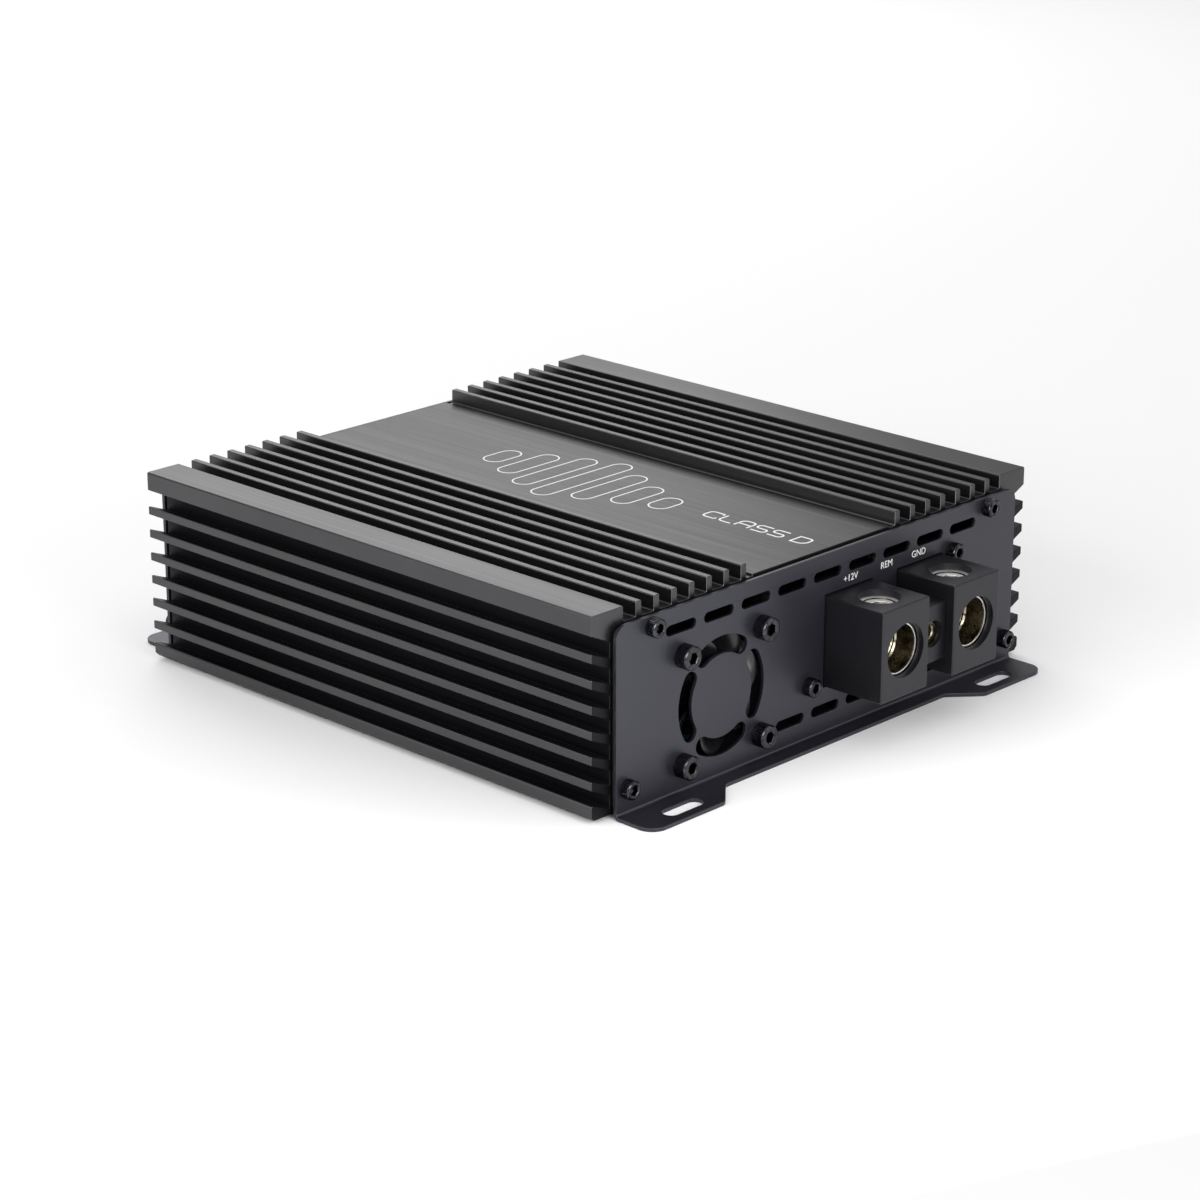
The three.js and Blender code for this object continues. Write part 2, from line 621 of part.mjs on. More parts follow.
const speakerSpan = () => {
  const middle = (SPEAKER.x[0] + SPEAKER.x[1]) / 2;
  return [middle - SPEAKER.width / 2, middle + SPEAKER.width / 2];
};

function makeSpeakerTerminals() {
  const [x0, x1] = speakerSpan();
  const [z0, z1] = SPEAKER.z;
  const front = PANEL_OUT - SPEAKER.reach;
  const back = PANEL_IN + FIT + FLANGE_T;
  const middleZ = (z0 + z1) / 2;
  const clamp = { half: 7, y: [front + 2, front + 12], z: [z0 + 2, z1 - 2.5], screw: 3.2 };
  const screwY = (clamp.y[0] + clamp.y[1]) / 2;
  const shell = join(
    box([x0, x1], [front, back], [z0, z1]),
    box([x0 - 3, x1 + 3], [PANEL_IN + FIT, back], [z0 - 3, z1 + 3]),
  );
  const pockets = SPEAKER.x.flatMap((x) => [
    barY(SPEAKER.mouth, x, middleZ, front - 1, clamp.y[0] + 0.1, 24),
    box([x - clamp.half - RUN, x + clamp.half + RUN], [clamp.y[0] - RUN, back + 1], [
      clamp.z[0] - RUN,
      clamp.z[1] + RUN,
    ]),
    barZ(clamp.screw + RUN, x, screwY, clamp.z[1], z1 + 1, 20),
  ]);
  place(controlEnd, "speaker_terminal_housing", cut(shell, ...pockets), BLACK_PLASTIC());

  ["positive", "negative"].forEach((name, i) => {
    const x = SPEAKER.x[i];
    const block = box([x - clamp.half, x + clamp.half], clamp.y, clamp.z);
    const tail = box([x - 3, x + 3], [clamp.y[1] - 1, 14], [clamp.z[0], clamp.z[0] + 1.8]);
    const foot = box([x - 3, x + 3], [12, 14], [PART_Z, clamp.z[0] + 1]);
    const bore = barY(SPEAKER.bore, x, middleZ, clamp.y[0] - 1, clamp.y[1] - 1.5, 24);
    const thread = barZ(clamp.screw + RUN, x, screwY, middleZ, clamp.z[1] + 1, 20);
    const made = cut(join(block, tail, foot), bore, thread);
    place(controlEnd, `speaker_${name}_clamp`, made, NICKEL());
    const screw = setScrew(clamp.screw, 4.5, 2.6);
    place(controlEnd, `speaker_${name}_set_screw`, screw, NICKEL(), [x, screwY, z1 - 0.8]);
  });
}

function makeSignalSockets() {
  const [inY, front] = [PANEL_IN + FIT, PANEL_OUT - RCA.reach];
  const bodyZ = [PART_Z, RCA.z + 8];
  const posts = RCA.x.flatMap((x) => barY(RCA.shell - RCA.wall - RUN, x, RCA.z, front + 0.6, inY + 1, 20));
  const pins = RCA.x.map((x) => barY(1.6, x, RCA.z, front - 1, inY - 2, 14));
  const base = box([RCA.x[0] - 7.5, RCA.x[1] + 7.5], [inY, inY + 11], bodyZ);
  const seats = RCA.x.map((x) =>
    cut(
      barY(RCA.shell + RUN, x, RCA.z, inY - 1, inY + 3, 24),
      barY(RCA.shell - RCA.wall - RUN, x, RCA.z, inY - 2, inY + 4, 20),
    ),
  );
  place(controlEnd, "rca_socket_body", cut(join(base, ...posts), ...pins, ...seats), BLACK_PLASTIC());

  ["left", "right"].forEach((name, i) => {
    const x = RCA.x[i];
    const tube = cut(
      barY(RCA.shell, x, RCA.z, front, inY + 3 - RUN, 28),
      barY(RCA.shell - RCA.wall, x, RCA.z, front - 1, inY + 4, 28),
    );
    place(controlEnd, `${name}_rca_shell`, tube, BRASS());
  });

  const { x, z, width, height } = PORT;
  const port = box([x - width / 2, x + width / 2], [PANEL_OUT - 0.8, 12], [z - height / 2, z + height / 2]);
  const legs = box([x - 4, x + 4], [4, 12], [PART_Z, z]);
  const socket = box([x - 4.8, x + 4.8], [PANEL_OUT - 2, 9], [z - 3.6, z + 3.4]);
  place(controlEnd, "remote_level_port", cut(join(port, legs), socket), GLOSS_PLASTIC());
}

function makeControls() {
  const inY = PANEL_IN + FIT;
  const shaft = 1.8;
  const sleeve = { radius: 3.2, depth: 9 };
  KNOBS.forEach(([name, x]) => {
    const can = box([x - 5, x + 5], [inY, inY + sleeve.depth], [PART_Z, KNOB.z + 5]);
    const bore = barY(shaft + RUN, x, KNOB.z, inY - 1, inY + 6, 16);
    place(controlEnd, name.replace("knob", "potentiometer"), cut(can, bore), BLACK_PLASTIC());

    // The knob's skirt is wider than its panel hole, so it turns just clear of the panel
    const skirt = PANEL_OUT - RUN;
    const cap = barY(KNOB.radius, x, KNOB.z, PANEL_OUT - KNOB.reach, skirt, 24);
    const stem = barY(shaft, x, KNOB.z, skirt - 0.5, inY + 5, 16);
    const slot = box([x - 0.5, x + 0.5], [PANEL_OUT - KNOB.reach - 1, PANEL_OUT - KNOB.reach + 1], [
      KNOB.z - 0.4,
      KNOB.z + KNOB.radius + 1,
    ]);
    place(controlEnd, name, cut(join(cap, stem), slot), GLOSS_PLASTIC());
  });

  const [x, z] = [SWITCH.x, SWITCH.z];
  const lever = { half: 1.5, reach: 2.5 };
  const can = box([x - 6, x + 6], [inY, inY + 6], [z - 3.5, z + 3.5]);
  const track = box([x - SWITCH.travel / 2 - 2.4, x + SWITCH.travel / 2 + 2.4], [inY - 1, inY + 4], [
    z - 1.9,
    z + 1.9,
  ]);
  place(controlEnd, "phase_switch_body", cut(can, track), GLOSS_PLASTIC());
  const slider = box([x - SWITCH.travel / 2 - lever.half, x - SWITCH.travel / 2 + lever.half], [
    PANEL_OUT - lever.reach,
    inY + 3.5,
  ], [z - 1.5, z + 1.5]);
  place(controlEnd, "phase_switch_slider", slider, GLOSS_PLASTIC());

  const lights = [
    ["power_led", 0x2f7bff],
    ["protect_led", 0xd02020],
  ];
  lights.forEach(([name, color], i) => {
    const profile = [
      [0, 0],
      [LED.radius, 0],
      [LED.radius, 5],
      [LED.radius * 0.8, 5.7],
      [LED.radius * 0.4, 6.1],
      [0, 6.2],
    ].map(([r, y]) => new THREE.Vector2(r, -y));
    const lens = solid(new THREE.LatheGeometry(profile, 16));
    place(controlEnd, name, lens, LENS(color), [LED.x, PANEL_OUT + 5, LED.z[i]]);
  });
}

function makeControlPanel() {
  const [x0, x1] = speakerSpan();
  const { z } = SPEAKER;
  const window = through(rectangle([x0 - RUN, x1 + RUN], [z[0] - RUN, z[1] + RUN]));
  const port = rectangle(
    [PORT.x - PORT.width / 2 - RUN, PORT.x + PORT.width / 2 + RUN],
    [PORT.z - PORT.height / 2 - RUN, PORT.z + PORT.height / 2 + RUN],
  );
  const throw_ = SWITCH.travel / 2 + 1.5 + RUN;
  const lever = rectangle([SWITCH.x - throw_, SWITCH.x + throw_], [SWITCH.z - 1.8, SWITCH.z + 1.8]);
  const holes = [
    ...RCA.x.map((x) => drill(RCA.shell + RUN, x, RCA.z)),
    ...KNOBS.map(([, x]) => drill(1.8 + RUN, x, KNOB.z)),
    ...LED.z.map((lz) => drill(LED.radius + RUN, LED.x, lz, 14)),
    through(port),
    through(lever),
    ...vents(VENT.top),
    ...vents(VENT.bottom),
    ...screwHoles(),
  ];
  place(controlEnd, "control_end_panel", cut(bentPanel(), window, ...holes), PAINT());
}

// ---------------------------------------------------------------- inside

function makeBoard() {
  const [front, back] = [NEAR_Y + 12, FAR_Y - 1.5];
  const plate = box([-BOARD_HALF, BOARD_HALF], [front, back], BOARD_Z);
  place(housing, "main_circuit_board", plate, BOARD_GREEN());

  const cans = [
    ["input_capacitor_1", 2, 52, 11, 36],
    ["input_capacitor_2", 30, 52, 11, 36],
    ["output_capacitor", 42, 110, 9, 30],
  ];
  cans.forEach(([name, x, y, radius, height]) => {
    const profile = [
      [0, 0],
      [radius, 0],
      [radius, 3],
      [radius - 0.7, 3.8],
      [radius, 4.6],
      [radius, height - 0.8],
      [radius - 0.8, height],
      [0, height],
    ].map(([r, h]) => new THREE.Vector2(r, h));
    const can = solid(new THREE.LatheGeometry(profile, 28).rotateX(Math.PI / 2));
    place(housing, name, can, GLOSS_PLASTIC(), [x, NEAR_Y + y, PART_Z]);
  });

  const rings = [
    ["power_transformer", -34, 62, 17, 7.5],
    ["output_choke", 2, 112, 13, 6],
  ];
  rings.forEach(([name, x, y, radius, tube]) => {
    const ring = solid(new THREE.TorusGeometry(radius, tube, 12, 28));
    place(housing, name, ring, COPPER(), [x, NEAR_Y + y, PART_Z + tube]);
  });
}

// Power transistors stand against the side walls, each row held by a clamp bar.
function makeTransistors() {
  const wall = WALL_IN - RUN;
  const [thick, tall, wide] = [4.6, 20, 15.5];
  const low = 12.5;
  [-1, 1].forEach((side) => {
    const hand = side < 0 ? "left" : "right";
    const span = (a, b) => (side < 0 ? [-b, -a] : [a, b]);
    [60, 118].forEach((y, i) => {
      const at = [NEAR_Y + y - wide / 2, NEAR_Y + y + wide / 2];
      const pack = box(span(wall - thick, wall), at, [low, low + tall]);
      const lead = [at[0] + 3, at[1] - 3];
      const bend = box(span(wall - thick - 1.4, wall - thick + 0.6), lead, [low, low + 2]);
      const legs = box(span(wall - thick - 1.4, wall - thick), lead, [PART_Z, low + 1]);
      place(housing, `${hand}_transistor_${i + 1}`, join(pack, bend, legs), BLACK_PLASTIC());
    });
    const barY0 = NEAR_Y + 44;
    const bar = box(span(wall - thick - 3.2, wall - thick - FIT), [barY0, barY0 + 90], [low + 7, low + 15]);
    place(housing, `${hand}_clamp_bar`, bar, ALUMINIUM());
  });
}

makeHousing();
makeGasket(terminalEnd, "terminal_end_gasket");
makeTerminalPanel();
makePanelScrews(terminalEnd, "terminal_panel");
makeFan();
makePowerTerminals();
makeGasket(controlEnd, "control_end_gasket");
makeControlPanel();
makePanelScrews(controlEnd, "control_panel");
makeSpeakerTerminals();
makeSignalSockets();
makeControls();
makeBoard();
makeTransistors();

export default amplifier;
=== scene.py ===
"""Looks of a mono car amplifier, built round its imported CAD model.

Shapes are drawn in millimetres, in the frame of the end or the body that they belong to, and turned into
metres when their mesh is made. Each end's frame has y 0 at the end face of the housing and -y outward, with
+x to the right for someone who looks at that end.
"""

import math
import random

import bmesh
import bpy
from mathutils import Matrix, Vector
from mathutils.geometry import tessellate_polygon


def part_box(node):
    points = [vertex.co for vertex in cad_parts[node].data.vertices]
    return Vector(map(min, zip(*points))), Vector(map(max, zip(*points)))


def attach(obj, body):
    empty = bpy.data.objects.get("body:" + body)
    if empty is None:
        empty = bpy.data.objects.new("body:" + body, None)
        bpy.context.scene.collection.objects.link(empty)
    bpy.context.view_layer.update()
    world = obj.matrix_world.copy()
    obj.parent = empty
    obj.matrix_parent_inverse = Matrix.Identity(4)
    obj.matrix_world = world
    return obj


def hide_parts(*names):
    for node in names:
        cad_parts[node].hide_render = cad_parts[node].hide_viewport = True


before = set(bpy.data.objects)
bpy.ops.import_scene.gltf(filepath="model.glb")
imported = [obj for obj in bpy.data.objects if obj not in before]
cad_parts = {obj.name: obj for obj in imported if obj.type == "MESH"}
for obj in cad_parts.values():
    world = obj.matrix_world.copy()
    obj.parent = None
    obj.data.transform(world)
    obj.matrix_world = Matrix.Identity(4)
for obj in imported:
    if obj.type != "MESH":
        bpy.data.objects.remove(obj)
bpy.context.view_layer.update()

MM = 0.001
ROOT = "amplifier"

# ---- frames

low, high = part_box("heatsink_housing")
NEAR_Y = low.y / MM
FAR_Y = high.y / MM
BASE_Z = low.z / MM
SCALE = Matrix.Scale(MM, 4)
HOUSING = SCALE @ Matrix.Translation((0, 0, BASE_Z))
TERMINAL = SCALE @ Matrix.Translation((0, NEAR_Y, BASE_Z))
CONTROL = SCALE @ Matrix.Translation((0, FAR_Y, BASE_Z)) @ Matrix.Rotation(math.pi, 4, "Z")
# Turns a shape drawn in X and Y and thick along Z into one drawn in X and Z and thick along Y
UPRIGHT = Matrix(((1, 0, 0, 0), (0, 0, -1, 0), (0, 1, 0, 0), (0, 0, 0, 1)))
# Turn a shape that stands along Z to point outward or inward at an end, along -Y or +Y
OUTWARD = Matrix.Rotation(math.pi / 2, 4, "X")
INWARD = Matrix.Rotation(-math.pi / 2, 4, "X")
# Faces that meet at more than this are shaded with an edge between them
SHARP_ANGLE = math.radians(38)

# ---- driving sizes, as in the CAD model

HALF = 93.4
HEIGHT = 58.5
WALL_X = 86.4
WALL_IN = 83.4
FLOOR_Z = 54.1
CEILING_Z = 49.5
TOP_FINS = 7
FIN_PITCH = 7
FIN_THICK = 2.2
FIN_OUTER = 76.4
RAIL_INNER = 81.2
PLATE_HALF = 29.6
PLATE_Z = 54.7
SIDE_FINS = 6
SIDE_FIRST = 47.9
SIDE_PITCH = 7.26
SIDE_TIP = 2.6
SIDE_DROP = 2.8
SIDE_DROP_UNDER = 3.3
TOP_RAIL_FACE = 5.6
BOTTOM_RAIL_FACE = 4.7

PANEL_T = 1.2
PANEL_IN = -1.2
PANEL_OUT = PANEL_IN - PANEL_T
PANEL_HALF = 86.3
PANEL_TOP = 54.2
PANEL_CORNER = 4
BEND_R = 0.8
BEND_LENGTH = (BEND_R + PANEL_T / 2) * math.pi / 2
LIP_REACH = 7.8
FOOT_REACH = 16
FOOT_INNER = 57.4
FLARE_INNER = 48.2
FOOT_SLOT = {"x": 68.4, "y": -10.3, "length": 14.5, "width": 5}
VENT = {"count": 9, "pitch": 15.25, "length": 12, "width": 3, "top": 47.9, "bottom": 7.4}
M3_HOLE_R = 1.5
M4_HOLE_R = 1.9
PANEL_SCREWS = [(-72.5, 51.1), (72.5, 51.1), (-82.2, 7.3), (82.2, 7.3)]
FIT = 0.1
RUN = 0.3
INK_T = 0.03
LABEL_Y = PANEL_OUT - INK_T
FLANGE_BACK = PANEL_IN + FIT + 3
# Where the leads of the sockets and clamps meet the circuit board
BOARD_Z = 7.8

FAN = {"x": -44.3, "z": 23.6, "size": 40, "depth": 10, "holes": 32, "bore": 19, "hub": 9.5, "blades": 7}
GRILLE = {"inner": 12.3, "outer": 17.5, "bridge": 2}
FAN_HOLES = [
    (FAN["x"] + sx * FAN["holes"] / 2, FAN["z"] + sz * FAN["holes"] / 2)
    for sz in (1, -1)
    for sx in (-1, 1)
]
TERMINAL_SCREWS = [(-7.6, 16.2), (56.2, 41.3)]

BLOCK_REACH = 21.1
BLOCK_FRONT = PANEL_OUT - BLOCK_REACH
BLOCK_HALF = 10.3
BLOCK_X = (9.5, 41.5)
BLOCK_Z = (14.2, 41.6)
REMOTE_X = 25.5
REMOTE_Z = (19, 36.6)
REMOTE_FRONT = PANEL_OUT - 18
REMOTE_SCREW_R = 1.8
CABLE_Z = 27.9
MOUTH_R = 8
BORE_R = 7.2
CLAMP_FRONT = BLOCK_FRONT + 2.5
CLAMP_BACK = CLAMP_FRONT + 15
SCREW_Y = (CLAMP_FRONT + CLAMP_BACK) / 2
PLAIN_BORE = 6.4

SPEAKER_X = (30, 52)
SPEAKER_SPAN = (21, 61)
SPEAKER_Z = (17, 37)
SPEAKER_FRONT = PANEL_OUT - 13
SPEAKER_CABLE_Z = 27
SPEAKER_SCREW_R = 3.5
RCA_X = (-70, -54)
RCA_Z = 26
RCA_HOLE_R = 4.5
KNOBS = (("gain_knob", -36, "GAIN"), ("low_pass_knob", -22, "LOW PASS"), ("bass_boost_knob", -8, "BASS"))
KNOB_Z = 26
KNOB_R = 3.2
SHAFT_HOLE_R = 2.1
KNOB_FRONT = PANEL_OUT - 6
SWITCH = (-22, 40)
PORT = (9, 25)
LED_X = 71
LED_Z = (24, 31)

# ---- outlines


def rounded(points, radius=0.0, steps=4):
    """A closed loop through points of (x, y) or (x, y, radius), with arcs of that radius as corners."""
    loop = []
    for i, point in enumerate(points):
        corner = Vector(point[:2])
        r = point[2] if len(point) > 2 else radius
        before = Vector(points[i - 1][:2]) - corner
        after = Vector(points[(i + 1) % len(points)][:2]) - corner
        half = before.angle(after) / 2 if r > 0 else 0
        if r <= 0 or half > math.radians(89):
            loop.append(corner)
            continue
        reach = min(r / math.tan(half), 0.48 * before.length, 0.48 * after.length)
        r = reach * math.tan(half)
        middle = before.normalized() + after.normalized()
        centre = corner + middle.normalized() * (r / math.sin(half))
        start = corner + before.normalized() * reach - centre
        end = corner + after.normalized() * reach - centre
        turn = math.atan2(start.x * end.y - start.y * end.x, start.dot(end))
        for k in range(steps + 1):
            loop.append(centre + Matrix.Rotation(turn * k / steps, 2) @ start)
    return loop


def rectangle(x0, x1, y0, y1, radius=0.0, steps=4):
    return rounded([(x0, y0), (x1, y0), (x1, y1), (x0, y1)], radius, steps)


def arc(x, y, radius, start, end, steps):
    angles = [start + (end - start) * k / steps for k in range(steps + 1)]
    return [Vector((x + radius * math.cos(a), y + radius * math.sin(a))) for a in angles]


def circle(x, y, radius, steps=48):
    return arc(x, y, radius, 0, 2 * math.pi, steps)[:-1]


def obround(x, y, length, width, steps=12):
    """A slot with round ends, lying along x."""
    reach = (length - width) / 2
    quarter = math.pi / 2
    right = arc(x + reach, y, width / 2, -quarter, quarter, steps)
    left = arc(x - reach, y, width / 2, quarter, 3 * quarter, steps)
    return right + left


def arc_slot(x, y, inner, outer, half, turn):
    """A slot with round ends, bent round (x, y) and centred on the angle turn."""
    middle = (inner + outer) / 2
    end = (outer - inner) / 2
    start, stop = turn - half, turn + half
    steps = 20
    tip = (x + middle * math.cos(stop), y + middle * math.sin(stop))
    tail = (x + middle * math.cos(start), y + middle * math.sin(start))
    loop = arc(x, y, outer, start, stop, steps)
    loop += arc(*tip, end, stop, stop + math.pi, 8)[1:-1]
    loop += arc(x, y, inner, stop, start, steps)
    loop += arc(*tail, end, start + math.pi, start + 2 * math.pi, 8)[1:-1]
    return loop


def mirrored(points):
    """A right-hand profile from the middle outward, completed with its mirror image in x."""
    left = [(-p[0], *p[1:]) for p in reversed(points) if p[0] > 0]
    return list(points) + left


# ---- solids as (vertices, faces)


def signed_area(loop):
    return sum(a.x * b.y - b.x * a.y for a, b in zip(loop, loop[1:] + loop[:1])) / 2


def clean(points, closed=True):
    """The points of a loop or path without those that repeat the one before."""
    return [
        p for i, p in enumerate(points) if (i == 0 and not closed) or (p - points[i - 1]).length > 1e-4
    ]


def mitre(a, b, amount):
    """How far a corner between the directions a and b moves when both its sides move left by amount."""
    na, nb = Vector((-a.y, a.x)), Vector((-b.y, b.x))
    return (na + nb) * (amount / max(1 + na.dot(nb), 0.2))


def inset(loop, amount):
    """The loop moved to its left by amount."""
    moved = []
    for i, p in enumerate(loop):
        a = (p - loop[i - 1]).normalized()
        b = (loop[(i + 1) % len(loop)] - p).normalized()
        moved.append(p + mitre(a, b, amount))
    return moved


def slab(loops, z0, z1, bevel=0.2, steps=2):
    """A flat plate with rounded edges. The first loop is its outline and the others are holes."""
    turned = []
    for i, loop in enumerate(loops):
        loop = clean([Vector(p[:2]) for p in loop])
        outward = signed_area(loop) > 0
        turned.append(loop if outward == (i == 0) else loop[::-1])
    levels = [(0.0, z1), (0.0, z0)]
    if bevel > 0:
        turns = [math.pi / 2 * k / steps for k in range(steps + 1)]
        top = [(bevel * (1 - math.sin(t)), z1 - bevel * (1 - math.cos(t))) for t in turns]
        levels = top + [(amount, z0 + z1 - z) for amount, z in reversed(top)]
    verts, faces, caps = [], [], [[], []]
    for loop in turned:
        starts = []
        for amount, z in levels:
            starts.append(len(verts))
            verts += [Vector((p.x, p.y, z)) for p in inset(loop, amount)]
        n = len(loop)
        for a, b in zip(starts, starts[1:]):
            faces += [(a + i, b + i, b + (i + 1) % n, a + (i + 1) % n) for i in range(n)]
        caps[0].append(range(starts[0], starts[0] + n))
        caps[1].append(range(starts[-1], starts[-1] + n))
    for cap in caps:
        order = [i for ring in cap for i in ring]
        flat = [[Vector((verts[i].x, verts[i].y, 0)) for i in ring] for ring in cap]
        faces += [tuple(order[i] for i in tri) for tri in tessellate_polygon(flat)]
    return verts, faces


def lathe(profile, sides=48, wave=None, ring=False):
    """A solid turned round Z from (radius, z) points, or a ring from a closed loop of them.

    wave(angle, radius, z) may change a point's radius.
    """
    verts, faces, rings = [], [], []
    for r, z in profile:
        count = sides if r > 1e-6 else 1
        rings.append(range(len(verts), len(verts) + count))
        for k in range(count):
            a = 2 * math.pi * k / sides
            here = wave(a, r, z) if wave and count > 1 else r
            verts.append(Vector((here * math.cos(a), here * math.sin(a), z)))
    for a, b in zip(rings, rings[1:] + (rings[:1] if ring else [])):
        for k in range(sides):
            j = (k + 1) % sides
            if len(a) == 1 and len(b) > 1:
                faces.append((a[0], b[k], b[j]))
            elif len(b) == 1 and len(a) > 1:
                faces.append((a[k], b[0], a[j]))
            elif len(a) > 1:
                faces.append((a[k], b[k], b[j], a[j]))
    ends = () if ring else (rings[0], rings[-1])
    faces += [tuple(end) for end in ends if len(end) > 1]
    return verts, faces


def about(middle, half):
    return (middle - half, middle + half)


def block(x, y, z, radius=0.3):
    """A box with rounded edges from its limits on each axis."""
    return slab([rectangle(*x, *y, radius, 3)], *z, min(radius, 0.45 * (z[1] - z[0])), 3)


def box(x, y, z):
    return slab([rectangle(*x, *y)], *z, 0)


def moved(solid, matrix):
    verts, faces = solid
    return [matrix @ v for v in verts], faces


def shifted(solid, *offset):
    return moved(solid, Matrix.Translation(offset))


def combined(*solids):
    verts, faces = [], []
    for v, f in solids:
        start = len(verts)
        verts += v
        faces += [tuple(i + start for i in face) for face in f]
    return verts, faces


# ---- objects


def make_mesh(name, solid, matrix):
    verts, faces = solid
    mesh = bpy.data.meshes.new(name)
    mesh.from_pydata([matrix @ v for v in verts], [], faces)
    work = bmesh.new()
    work.from_mesh(mesh)
    bmesh.ops.recalc_face_normals(work, faces=work.faces)
    work.to_mesh(mesh)
    work.free()
    mesh.shade_smooth()
    mesh.set_sharp_from_angle(angle=SHARP_ANGLE)
    return mesh


def add_object(name, mesh, material):
    obj = bpy.data.objects.new(name, mesh)
    bpy.context.scene.collection.objects.link(obj)
    if material:
        mesh.materials.clear()
        mesh.materials.append(material)
    return obj


def declared(obj, body, replaces):
    """Gives an object even shading, hangs it on the body that it rides on, and hides the CAD parts that it
    replaces.
    """
    weighting = obj.modifiers.new("even_shading", "WEIGHTED_NORMAL")
    # A large flat face keeps its own normal beside the small faces of a rounded edge
    weighting.keep_sharp = True
    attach(obj, body)
    if replaces is not None:
        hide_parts(*replaces)
    return obj


def piece(name, solid, matrix, material, replaces=None, body=ROOT):
    """One shown piece of the amplifier."""
    obj = add_object(name, make_mesh(name, solid, matrix), material)
    return declared(obj, body, replaces)


def applied(obj):
    """The object's mesh with its modifiers, which are then removed."""
    bpy.context.view_layer.update()
    evaluated = obj.evaluated_get(bpy.context.evaluated_depsgraph_get())
    mesh = bpy.data.meshes.new_from_object(evaluated)
    obj.modifiers.clear()
    obj.data = mesh
    return obj


def carved(name, body, cutters, matrix, material, replaces, bevel=0.3):
    """A piece cut out of one solid by others, with all its sharp edges rounded."""
    obj = add_object(name, make_mesh(name, body, matrix), material)
    tools = []
    for i, cutter in enumerate(cutters):
        cut = obj.modifiers.new(f"cut_{i}", "BOOLEAN")
        cut.operation = "DIFFERENCE"
        cut.solver = "EXACT"
        cut.object = add_object(f"{name}_cut_{i}", make_mesh(f"{name}_cut_{i}", cutter, matrix), None)
        tools.append(cut.object)
    applied(obj)
    for tool in tools:
        bpy.data.objects.remove(tool)
    if bevel > 0:
        edge = obj.modifiers.new("edge", "BEVEL")
        edge.width = bevel * MM
        edge.segments = 2
        edge.limit_method = "ANGLE"
        edge.angle_limit = math.radians(40)
        edge.use_clamp_overlap = True
        applied(obj)
    obj.data.shade_smooth()
    obj.data.set_sharp_from_angle(angle=SHARP_ANGLE)
    obj.data.materials.clear()
    obj.data.materials.append(material)
    return declared(obj, ROOT, replaces)


def lettering(name, text, at, size, matrix):
    """Thin raised ink letters, centred on at and upright on a panel."""
    curve = bpy.data.curves.new(name, "FONT")
    curve.body = text
    curve.size = size
    curve.align_x = "CENTER"
    curve.align_y = "CENTER"
    curve.extrude = 0.02
    curve.resolution_u = 3
    writer = bpy.data.objects.new(name, curve)
    bpy.context.scene.collection.objects.link(writer)
    bpy.context.view_layer.update()
    mesh = bpy.data.meshes.new_from_object(writer.evaluated_get(bpy.context.evaluated_depsgraph_get()))
    bpy.data.objects.remove(writer)
    mesh.transform(matrix @ Matrix.Translation(at) @ OUTWARD)
    mesh.name = name
    obj = add_object(name, mesh, INK)
    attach(obj, ROOT)


# ---- materials


def set_stops(ramp, stops):
    """Gives a colour ramp its stops of (position, colour)."""
    elements = ramp.color_ramp.elements
    while len(elements) < len(stops):
        elements.new(0.5)
    for element, (position, colour) in zip(elements, stops):
        element.position = position
        element.color = (*colour, 1.0)


class Nodes:
    """A material's node tree, with its Principled shader and the few nodes that the finishes are made of."""

    def __init__(self, name, **constants):
        self.material = bpy.data.materials.new(name)
        self.material.use_nodes = True
        self.tree = self.material.node_tree
        self.shader = self.tree.nodes["Principled BSDF"]
        self.where = self.tree.nodes.new("ShaderNodeTexCoord").outputs["Object"]
        self.noises = {}
        for socket, value in constants.items():
            self.shader.inputs[socket.replace("_", " ")].default_value = value

    def link(self, a, b):
        self.tree.links.new(a, b)

    def stretched(self, scale):
        node = self.tree.nodes.new("ShaderNodeMapping")
        node.inputs["Scale"].default_value = scale
        self.link(self.where, node.inputs["Vector"])
        return node.outputs["Vector"]

    def noise(self, scale, detail=3.0, roughness=0.5):
        """A noise of that many waves per metre on each axis. Asked for again, it is the same node."""
        asked = (scale, detail, roughness)
        if asked not in self.noises:
            node = self.tree.nodes.new("ShaderNodeTexNoise")
            node.inputs["Scale"].default_value = 1.0
            node.inputs["Detail"].default_value = detail
            node.inputs["Roughness"].default_value = roughness
            self.link(self.stretched(scale), node.inputs["Vector"])
            self.noises[asked] = node.outputs["Fac"]
        return self.noises[asked]

    def cells(self, scale):
        node = self.tree.nodes.new("ShaderNodeTexVoronoi")
        node.inputs["Scale"].default_value = 1.0
        self.link(self.stretched(scale), node.inputs["Vector"])
        return node.outputs["Distance"]

    def colours(self, factor, *stops):
        ramp = self.tree.nodes.new("ShaderNodeValToRGB")
        set_stops(ramp, stops)
        self.link(factor, ramp.inputs["Fac"])
        self.link(ramp.outputs["Color"], self.shader.inputs["Base Color"])

    def rough(self, factor, least, most):
        node = self.tree.nodes.new("ShaderNodeMapRange")
        node.inputs["From Min"].default_value = 0.25
        node.inputs["From Max"].default_value = 0.75
        node.inputs["To Min"].default_value = least
        node.inputs["To Max"].default_value = most
        self.link(factor, node.inputs["Value"])
        self.link(node.outputs["Result"], self.shader.inputs["Roughness"])

    def bump(self, height, distance, strength=1.0):
        node = self.tree.nodes.new("ShaderNodeBump")
        node.inputs["Distance"].default_value = distance * MM
        node.inputs["Strength"].default_value = strength
        self.link(height, node.inputs["Height"])
        normal = self.shader.inputs["Normal"]
        if normal.is_linked:
            self.link(normal.links[0].from_socket, node.inputs["Normal"])
        self.link(node.outputs["Normal"], normal)


